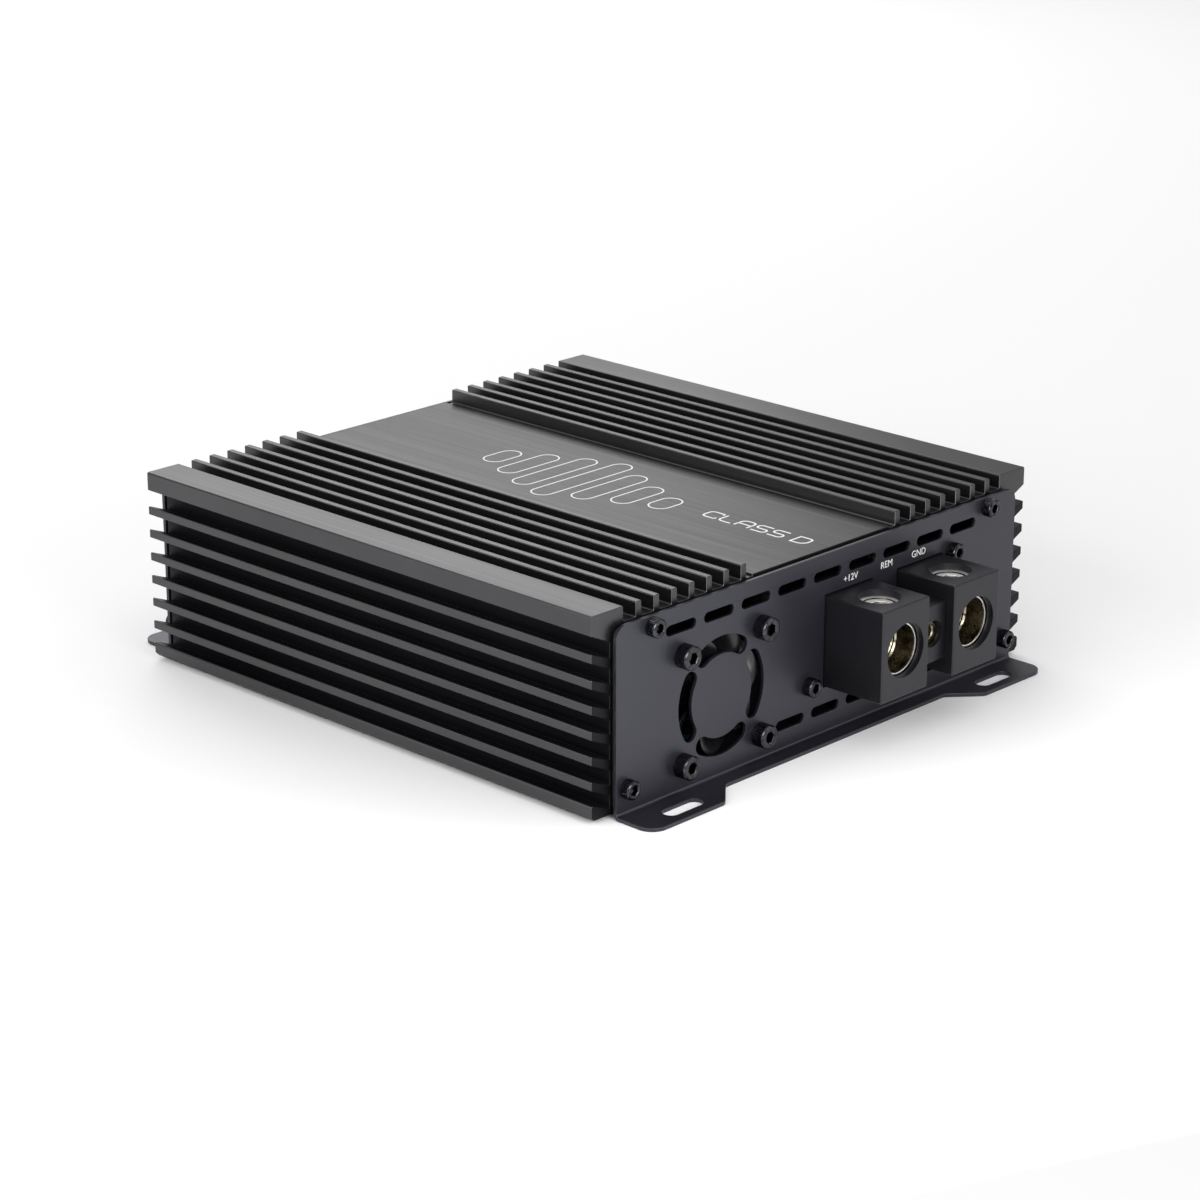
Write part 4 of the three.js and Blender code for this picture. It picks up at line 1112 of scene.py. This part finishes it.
def make_fan():
    half = FAN["size"] / 2
    y0 = PANEL_IN + FIT
    y1 = y0 + FAN["depth"]
    square = rectangle(-half, half, -half, half, 2.5, 8)
    hole = FAN["holes"] / 2
    holes = [circle(sx * hole, sz * hole, M4_HOLE_R, 24) for sx in (-1, 1) for sz in (-1, 1)]
    ring = moved(slab([square, circle(0, 0, FAN["bore"], 96)] + holes, -y1, -y0, 0.3, 2), UPRIGHT)
    struts = []
    for k in range(4):
        arm = block((8, 19.3), (y1 - 1.5, y1), (-1.1, 1.1), 0.25)
        struts.append(moved(arm, Matrix.Rotation(math.pi / 4 + math.pi / 2 * k, 4, "Y")))
    can, edge = 8.5, 0.3
    motor = [(0, y1 - 1.5), (can - edge, y1 - 1.5), (can, y1 - 1.2), (can, y1 - edge)]
    motor += [(can - edge, y1), (0, y1)]
    motor = moved(lathe(motor), INWARD)
    pin = [(0, y1 - 6), (1.0, y1 - 6), (1.2, y1 - 5.8), (1.2, y1 - 1), (0, y1 - 1)]
    pin = moved(lathe(pin, 24), INWARD)
    middle = Matrix.Translation((FAN["x"], 0, FAN["z"]))
    frame_solid = moved(combined(ring, *struts, motor, pin), middle)
    piece("fan_square", frame_solid, TERMINAL, PLASTIC, ["fan_frame"])

    front, back = y0 + 0.8, y1 - 2.1
    blades = [blade(2 * math.pi * k / FAN["blades"], front, back) for k in range(FAN["blades"])]
    cup = [(0, front + 0.25), (5.6, front + 0.25), (5.8, front), (8.7, front), (9.3, front + 0.25)]
    cup += [(9.5, front + 0.8), (9.5, back), (8.6, back), (8.6, front + 1.4), (1.6, front + 1.4)]
    cup += [(1.6, back - 1.2), (1.5, back - 1.2), (1.5, front + 1.0), (0, front + 1.0)]
    hub = moved(lathe(cup, 64), INWARD)
    rotor = moved(combined(hub, *blades), middle)
    piece("fan_impeller", rotor, TERMINAL, GLOSS, ["fan_rotor"], "fan")


# ---- power terminals


def bar_y(radius, x, z, y0, y1, sides=96):
    place = Matrix.Translation((x, 0, z)) @ INWARD
    return moved(lathe([(0, y0), (radius, y0), (radius, y1), (0, y1)], sides), place)


def bar_z(radius, x, y, z0, z1, sides=96):
    return shifted(lathe([(0, z0), (radius, z0), (radius, z1), (0, z1)], sides), x, y, 0)


def thread_bore(radius, depth, pitch, x, z, y0, y1, plain=0.6, sides=96):
    """A cutter for a bore along Y, grooved beyond its plain mouth."""
    lead_in = 0.35
    profile = [(0, y0 - 1), (radius + lead_in, y0 - 1), (radius + lead_in, y0), (radius, y0 + lead_in)]
    count = int((y1 - y0 - plain - 0.2) / pitch)
    for k in range(count):
        base = y0 + plain + k * pitch
        profile += [(radius, base), (radius + depth, base + pitch * 0.35)]
        profile += [(radius + depth, base + pitch * 0.5), (radius, base + pitch * 0.85)]
    profile += [(radius, y1), (0, y1)]
    place = Matrix.Translation((x, 0, z)) @ INWARD
    return moved(lathe(profile, sides), place)


def make_power_terminals():
    clamp_half, (clamp_low, clamp_high) = 8.9, (18.6, 39.4)
    for node, x in (("positive", BLOCK_X[0]), ("ground", BLOCK_X[1])):
        clamp = box(about(x, clamp_half), (CLAMP_FRONT, CLAMP_BACK), (clamp_low, clamp_high))
        cutters = [
            thread_bore(BORE_R, 0.4, 1.25, x, CABLE_Z, CLAMP_FRONT, CLAMP_BACK - 1.5, PLAIN_BORE),
            bar_z(5.12, x, SCREW_Y, CABLE_Z, 41, 64),
        ]
        obj = carved(f"{node}_clamp_metal", clamp, cutters, TERMINAL, NICKEL, [f"{node}_clamp"], 0)
        obj.data.materials.append(TOP_LIGHT_NICKEL)
        obj.data.materials.append(TARNISHED)
        top_light, tarnished = 1, 2
        axis = TERMINAL @ Vector((x, CLAMP_FRONT, CABLE_Z))
        for face in obj.data.polygons:
            place = (face.center - axis) / MM
            # Up-facing faces at the clamp's top take the painted top light
            if face.normal.z > 0.9 and face.center.z > (BASE_Z + 39) * MM:
                face.material_index = top_light
            elif 0.2 < place.y < PLAIN_BORE and math.hypot(place.x, place.z) < BORE_R + 0.1:
                face.material_index = tarnished
        lip = [(7.18, 0.4), (7.18, -0.02), (7.4, -0.12), (7.75, -0.06), (7.75, 0.4)]
        rim = shifted(moved(lathe(lip, 96, ring=True), INWARD), x, CLAMP_FRONT, CABLE_Z)
        piece(f"{node}_clamp_rim", rim, TERMINAL, BRIGHT)
        tail = combined(
            block(about(x, 5), (CLAMP_BACK - 3, 20), (16.6, 18.6), 0.2),
            block(about(x, 5), (CLAMP_BACK - 3, CLAMP_BACK), (16.8, 19), 0.2),
            block(about(x, 5), (18, 20), (BOARD_Z, 18.5), 0.2),
        )
        piece(f"{node}_clamp_tail", tail, TERMINAL, NICKEL)
        screw = shifted(set_screw(5, 5, 5, 1.25), x, SCREW_Y, 39.2)
        name = f"{node}_set_screw"
        obj = piece(f"{name}_metal", screw, TERMINAL, BRIGHT, [name], f"{node}_screw")
        obj.data.materials.append(TOP_LIGHT_NICKEL)
        for face in obj.data.polygons:
            # Up-facing faces of the set screw take the painted top light
            if face.normal.z > 0.6:
                face.material_index = top_light

    front = REMOTE_FRONT + 2
    body = box(about(REMOTE_X, 3.4), (front, front + 10), (22.5, 33))
    cutters = [
        thread_bore(2.2, 0.15, 0.6, REMOTE_X, CABLE_Z, front, front + 9, sides=48),
        bar_z(REMOTE_SCREW_R, REMOTE_X, front + 5, CABLE_Z, 34, 32),
    ]
    carved("remote_clamp_metal", body, cutters, TERMINAL, TARNISHED, ["remote_clamp"], 0)
    lead = combined(
        block(about(REMOTE_X, 1), (front + 9, 20), (22.6, 24.1), 0.15),
        block(about(REMOTE_X, 1), (18, 20), (BOARD_Z, 23.5), 0.15),
    )
    piece("remote_clamp_lead", lead, TERMINAL, NICKEL)
    screw = shifted(set_screw(1.5, 4.2, 1.3, 0.5), REMOTE_X, front + 5, 33.5)
    piece("remote_set_screw_metal", screw, TERMINAL, BRIGHT, ["remote_set_screw"], "remote_screw")

    # The moulding: each block is carved on its own, and the flange behind the panel joins them
    parts = []
    for x in BLOCK_X:
        body = block(about(x, BLOCK_HALF), (BLOCK_FRONT, FLANGE_BACK), BLOCK_Z, 0.45)
        cutters = [
            bar_y(MOUTH_R, x, CABLE_Z, BLOCK_FRONT - 1, CLAMP_FRONT + 0.05, 128),
            box(about(x, 9.2), (CLAMP_FRONT - RUN, FLANGE_BACK + 1), (16.3, 39.7)),
            bar_z(6.25, x, SCREW_Y, 39.4, BLOCK_Z[1] + 1, 96),
        ]
        parts.append((body, cutters))
    body = block((19.6, 31.4), (REMOTE_FRONT, FLANGE_BACK), REMOTE_Z, 0.6)
    cutters = [
        bar_y(4, REMOTE_X, CABLE_Z, REMOTE_FRONT - 1, front, 96),
        box(about(REMOTE_X, 3.7), (front - RUN, FLANGE_BACK + 1), (22.2, 33.3)),
        bar_z(REMOTE_SCREW_R, REMOTE_X, front + 5, 33, REMOTE_Z[1] + 1, 48),
    ]
    parts.append((body, cutters))
    names = ("positive_block", "ground_block", "remote_block")
    for i, (name, (body, cutters)) in enumerate(zip(names, parts)):
        stands_for = ["power_terminal_housing"] if i == 0 else []
        carved(name, body, cutters, TERMINAL, PLASTIC, stands_for, 0.28)
    holes = [rectangle(-1.5, 20.5, 15, 41, 0.2), rectangle(30.5, 52.5, 15, 41, 0.2)]
    holes += [circle(x, z, M3_HOLE_R, 24) for x, z in TERMINAL_SCREWS]
    outline = rectangle(-12.1, 60.7, 11.7, 45.8, 2, 6)
    flange = moved(slab([outline] + holes, -FLANGE_BACK, -(PANEL_IN + FIT), 0.2, 2), UPRIGHT)
    piece("terminal_flange", flange, TERMINAL, PLASTIC)


# ---- signal end


def make_speaker_terminals():
    clamp_front = SPEAKER_FRONT + 2
    screw_y = clamp_front + 5
    body = block(SPEAKER_SPAN, (SPEAKER_FRONT, FLANGE_BACK), SPEAKER_Z, 0.45)
    cutters = []
    for x in SPEAKER_X:
        cutters.append(bar_y(5.4, x, SPEAKER_CABLE_Z, SPEAKER_FRONT - 1, clamp_front + 0.05))
        cutters.append(box(about(x, 7.3), (clamp_front - RUN, FLANGE_BACK + 1), (18.7, 34.8)))
        cutters.append(bar_z(SPEAKER_SCREW_R, x, screw_y, 34.5, SPEAKER_Z[1] + 1, 64))
    middle = sum(SPEAKER_X) / 2
    cutters.append(box(about(middle, 0.6), (SPEAKER_FRONT - 1, SPEAKER_FRONT + 0.8), (10, 45)))
    carved(
        "speaker_block", body, cutters, CONTROL, PLASTIC, ["speaker_terminal_housing"], 0.28
    )
    outline = rectangle(18, 64, 14, 40, 1.5, 6)
    hole = rectangle(21.5, 60.5, 17.5, 36.5, 0.2)
    flange = moved(slab([outline, hole], -FLANGE_BACK, -(PANEL_IN + FIT), 0.2, 2), UPRIGHT)
    piece("speaker_flange", flange, CONTROL, PLASTIC)
    for name, x in zip(("positive", "negative"), SPEAKER_X):
        clamp = box(about(x, 7), (clamp_front, clamp_front + 10), (19, 34.5))
        cut = [
            thread_bore(4.6, 0.2, 0.8, x, SPEAKER_CABLE_Z, clamp_front, clamp_front + 8.5, sides=64),
            bar_z(SPEAKER_SCREW_R, x, screw_y, SPEAKER_CABLE_Z, 36, 48),
        ]
        node = f"speaker_{name}_clamp"
        carved(f"{node}_metal", clamp, cut, CONTROL, NICKEL, [node], 0)
        tail = combined(
            block(about(x, 3), (clamp_front + 9, 14), (19.1, 20.8), 0.15),
            block(about(x, 3), (12, 14), (BOARD_Z, 20), 0.15),
        )
        piece(f"{node}_tail", tail, CONTROL, NICKEL)
        screw = shifted(set_screw(3.2, 4.5, 2.6, 1.0), x, screw_y, SPEAKER_Z[1] - 0.8)
        node = f"speaker_{name}_set_screw"
        piece(f"{node}_metal", screw, CONTROL, BRIGHT, [node], f"speaker_{name}_screw")


def make_signal_sockets():
    inner = PANEL_IN + FIT
    front = PANEL_OUT - 10
    base = block((-77.5, -46.5), (inner, inner + 11), (BOARD_Z, 34), 0.3)
    cutters = [bar_y(RCA_HOLE_R, x, RCA_Z, inner - 1, inner + 3, 64) for x in RCA_X]
    carved("rca_base", base, cutters, CONTROL, PLASTIC, ["rca_socket_body"], 0.15)
    for name, x, ring_finish in (("left", RCA_X[0], WHITE_RING), ("right", RCA_X[1], RED_RING)):
        at = Matrix.Translation((x, 0, RCA_Z))
        depth = -front
        shell = [(3.4, -1.6), (4.2, -1.6), (4.2, 4.6), (3.95, 4.8), (3.95, 5.4), (4.2, 5.6)]
        shell += [(4.2, depth - 0.3), (4.0, depth), (3.6, depth), (3.4, depth - 0.25)]
        tube = moved(lathe(shell, 64, ring=True), at @ OUTWARD)
        piece(f"{name}_rca_tube", tube, CONTROL, GOLD, [f"{name}_rca_shell"])
        core = [(1.6, 2.2), (3.1, 2.2), (3.1, depth - 1.1), (2.8, depth - 0.7), (1.9, depth - 0.7)]
        core.append((1.6, depth - 1))
        post = moved(lathe(core, 48, ring=True), at @ OUTWARD)
        piece(f"{name}_rca_insulator", post, CONTROL, ring_finish)
        contact = [(1.5, -1.6), (1.3, -1.6), (1.3, depth - 1.6), (1.5, depth - 1.6)]
        piece(f"{name}_rca_contact", moved(lathe(contact, 32, ring=True), at @ OUTWARD), CONTROL, GOLD)

    x, z = PORT
    body = block(about(x, 6.5), (PANEL_OUT - 0.8, 12), about(z, 6), 0.25)
    cutters = [
        box(about(x, 4.8), (PANEL_OUT - 2, 9), (z - 3.6, z + 3.4)),
        box(about(x, 1.8), (PANEL_OUT - 2, 7), (z - 4.9, z - 3.4)),
    ]
    carved("level_port_body", body, cutters, CONTROL, GLOSS, ["remote_level_port"], 0.12)
    across = (-1.8, -0.6, 0.6, 1.8)
    wires = [block(about(x + dx, 0.2), (-1.5, 8.6), (z + 2.6, z + 2.9), 0.08) for dx in across]
    legs = [block(about(x + dx, 0.4), (9, 9.6), (BOARD_Z, z - 5), 0.1) for dx in (-3.5, -1.2, 1.2, 3.5)]
    piece("level_port_contacts", combined(*wires, *legs), CONTROL, GOLD)


def knob():
    """A small knob along Z, with grip flutes and a shallow dish in its face, and its shaft behind."""
    flutes = 18

    def grip(angle, r, z):
        return r - 0.16 * (0.5 + 0.5 * math.cos(flutes * angle)) if r > 3.0 and z > 0.8 else r

    top = PANEL_OUT - RUN - KNOB_FRONT
    profile = [(0, -6.4), (1.8, -6.4), (1.8, 0), (KNOB_R - 0.2, 0), (KNOB_R, 0.2)]
    profile += [(KNOB_R, 0.9 + (top - 1.5) * k / 4) for k in range(5)]
    profile += [(KNOB_R - 0.1, top - 0.35), (KNOB_R - 0.4, top), (2.2, top)]
    profile += [(2.0, top - 0.15), (0, top - 0.15)]
    return lathe(profile, flutes * 4, grip)


def make_controls():
    inner = PANEL_IN + FIT
    solid = knob()
    for name, x, _ in KNOBS:
        place = Matrix.Translation((x, PANEL_OUT - RUN, KNOB_Z)) @ OUTWARD
        body = name.replace("knob", "control")
        piece(f"{name}_cap", solid, CONTROL @ place, GLOSS, [name], body)
        mark = block(about(x, 0.25), (KNOB_FRONT, KNOB_FRONT + 0.5), (KNOB_Z + 0.5, KNOB_Z + 2.7), 0.08)
        piece(f"{name}_pointer", mark, CONTROL, INK, None, body)
        case = combined(
            block(about(x, 5), (inner, inner + 9), (12, 31), 0.4),
            *[block(about(x + dx, 0.3), (4, 4.6), (BOARD_Z, 12.4), 0.1) for dx in (-2.5, 0, 2.5)],
        )
        node = name.replace("knob", "potentiometer")
        hollow = [bar_y(SHAFT_HOLE_R, x, KNOB_Z, inner - 1, inner + 6, 48)]
        carved(f"{node}_case", case, hollow, CONTROL, PLASTIC, [node], 0.1)

    x, z = SWITCH
    body = block(about(x, 6), (inner, inner + 6), about(z, 3.5), 0.3)
    track = [box(about(x, 4.4), (inner - 1, inner + 4), about(z, 1.9))]
    carved("phase_body", body, track, CONTROL, GLOSS, ["phase_switch_body"], 0.12)
    left = x - 2
    ribs = [block(about(left, 1.5), (PANEL_OUT - 1.8, inner + 3.5), about(z, 1.5), 0.25)]
    for k in range(3):
        at = left - 0.9 + 0.9 * k
        ribs.append(block(about(at, 0.22), (PANEL_OUT - 2.5, PANEL_OUT - 1.5), about(z, 1.4), 0.15))
    lever = combined(*ribs)
    piece(
        "phase_lever", lever, CONTROL, GLOSS, ["phase_switch_slider"], "phase_switch"
    )

    for node, z, tint in (("power_led", LED_Z[0], BLUE), ("protect_led", LED_Z[1], RED)):
        dome = [(1.5 * math.cos(a), 4.7 + 1.5 * math.sin(a)) for a in (math.pi / 2 * k / 6 for k in range(7))]
        profile = [(0, 0), (1.5, 0)] + dome[:-1] + [(0, 6.2)]
        at = Matrix.Translation((LED_X, PANEL_OUT + 5, z)) @ OUTWARD
        piece(f"{node}_lens", moved(lathe(profile, 32), at), CONTROL, tint, [node])


# ---- inside


def wound_ring(radius, tube, turns):
    """A toroid whose surface rises and falls with each turn of its wire."""
    around, across = turns * 6, 20
    verts, faces = [], []
    for i in range(around):
        a = 2 * math.pi * i / around
        ridge = tube - 0.45 + 0.45 * abs(math.sin(turns * a / 2))
        for j in range(across):
            b = 2 * math.pi * j / across
            r = radius + ridge * math.cos(b)
            verts.append(Vector((r * math.cos(a), r * math.sin(a), ridge * math.sin(b))))
    for i in range(around):
        for j in range(across):
            i2, j2 = (i + 1) % around, (j + 1) % across
            faces.append((i * across + j, i2 * across + j, i2 * across + j2, i * across + j2))
    return verts, faces


def make_inside():
    deck = 7.7
    cans = (
        ("input_capacitor_1", 2, 52, 11, 36),
        ("input_capacitor_2", 30, 52, 11, 36),
        ("output_capacitor", 42, 110, 9, 30),
    )
    for name, x, y, r, h in cans:
        profile = [(0, 0), (r - 0.6, 0), (r, 0.5), (r, 3), (r - 0.7, 3.5), (r - 0.7, 4.1), (r, 4.6)]
        profile += [(r, h - 1.1), (r - 0.25, h - 0.4), (r - 1, h), (r - 1.6, h)]
        profile += [(r - 1.8, h - 0.3), (0, h - 0.3)]
        at = (x, NEAR_Y + y, deck)
        piece(f"{name}_can", shifted(lathe(profile, 64), *at), HOUSING, SLEEVE, [name])
        vent = [slab([rectangle(-r * 0.55, r * 0.55, -0.25, 0.25)], h - 0.3, h - 0.22, 0)]
        vent.append(moved(vent[0], Matrix.Rotation(math.pi / 2, 4, "Z")))
        disc = slab([circle(0, 0, r - 1.9, 48)], h - 0.35, h - 0.27, 0)
        top = combined(disc, *vent)
        piece(f"{name}_top", shifted(top, *at), HOUSING, MILL)
    rings = (("power_transformer", -34, 62, 17, 7.5, 52), ("output_choke", 2, 112, 13, 6, 40))
    for name, x, y, r, tube, turns in rings:
        at = (x, NEAR_Y + y, deck + tube)
        piece(f"{name}_winding", shifted(wound_ring(r, tube, turns), *at), HOUSING, WIRE, [name])

    # Small parts on the board's free area
    seeded = random.Random(21)
    chips = []
    # What the output capacitor, the choke and the first input capacitor keep clear, as x, y and radius
    taken = ((42, 110, 12), (2, 112, 22), (2, 52, 14))
    for _ in range(90):
        x, y = seeded.uniform(-70, 70), seeded.uniform(90, 172)
        clear = all(math.hypot(x - cx, y - cy) > reach for cx, cy, reach in taken)
        signal_end = y > 160
        if not clear or signal_end:
            continue
        w, d, h = seeded.choice(((2, 1.2, 0.7), (3.2, 1.6, 0.9), (5, 4, 1.6), (9, 4, 1.8)))
        chips.append(block((x, x + w), (NEAR_Y + y, NEAR_Y + y + d), (7.6, 7.6 + h), 0.12))
    piece("board_chips", combined(*chips), HOUSING, GLOSS)


def make_transistors():
    wall = WALL_IN - RUN
    thick, tall, wide, low_z = 4.6, 20, 15.5, 12.5
    for side, hand in ((-1, "left"), (1, "right")):
        for i, y in enumerate((60, 118)):
            span = sorted((side * (wall - thick), side * wall))
            pack = block(span, (NEAR_Y + y - wide / 2, NEAR_Y + y + wide / 2), (low_z, low_z + tall), 0.35)
            leads = []
            for dy in (-3.5, 0, 3.5):
                at = (NEAR_Y + y + dy - 0.6, NEAR_Y + y + dy + 0.6)
                bent = sorted((side * (wall - thick - 1.4), side * (wall - thick + 0.6)))
                down = sorted((side * (wall - thick - 1.4), side * (wall - thick - 0.6)))
                leads.append(block(bent, at, (low_z, low_z + 0.7), 0.1))
                leads.append(block(down, at, (7.7, low_z + 0.6), 0.1))
            node = f"{hand}_transistor_{i + 1}"
            piece(f"{node}_case", pack, HOUSING, PLASTIC, [node])
            piece(f"{node}_leads", combined(*leads), HOUSING, MILL)
        span = sorted((side * (wall - thick - 3.2), side * (wall - thick - FIT)))
        bar = block(span, (NEAR_Y + 44, NEAR_Y + 134), (low_z + 7, low_z + 15), 0.3)
        piece(f"{hand}_bar", bar, HOUSING, MILL, [f"{hand}_clamp_bar"])


def finish_kept_nodes():
    """The CAD solids whose own shape is right only get their finish."""
    kept = (
        ("bottom_cover", POWDER),
        ("terminal_end_gasket", RUBBER),
        ("control_end_gasket", RUBBER),
        ("main_circuit_board", MASK),
    )
    for node, finish in kept:
        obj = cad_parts[node]
        obj.data.materials.clear()
        obj.data.materials.append(finish)


make_camera()
make_floor()
make_light()
make_housing()
make_emblem()
make_terminal_panel()
make_control_panel()
make_cap_screws()
make_fan()
make_power_terminals()
make_speaker_terminals()
make_signal_sockets()
make_controls()
make_inside()
make_transistors()
finish_kept_nodes()
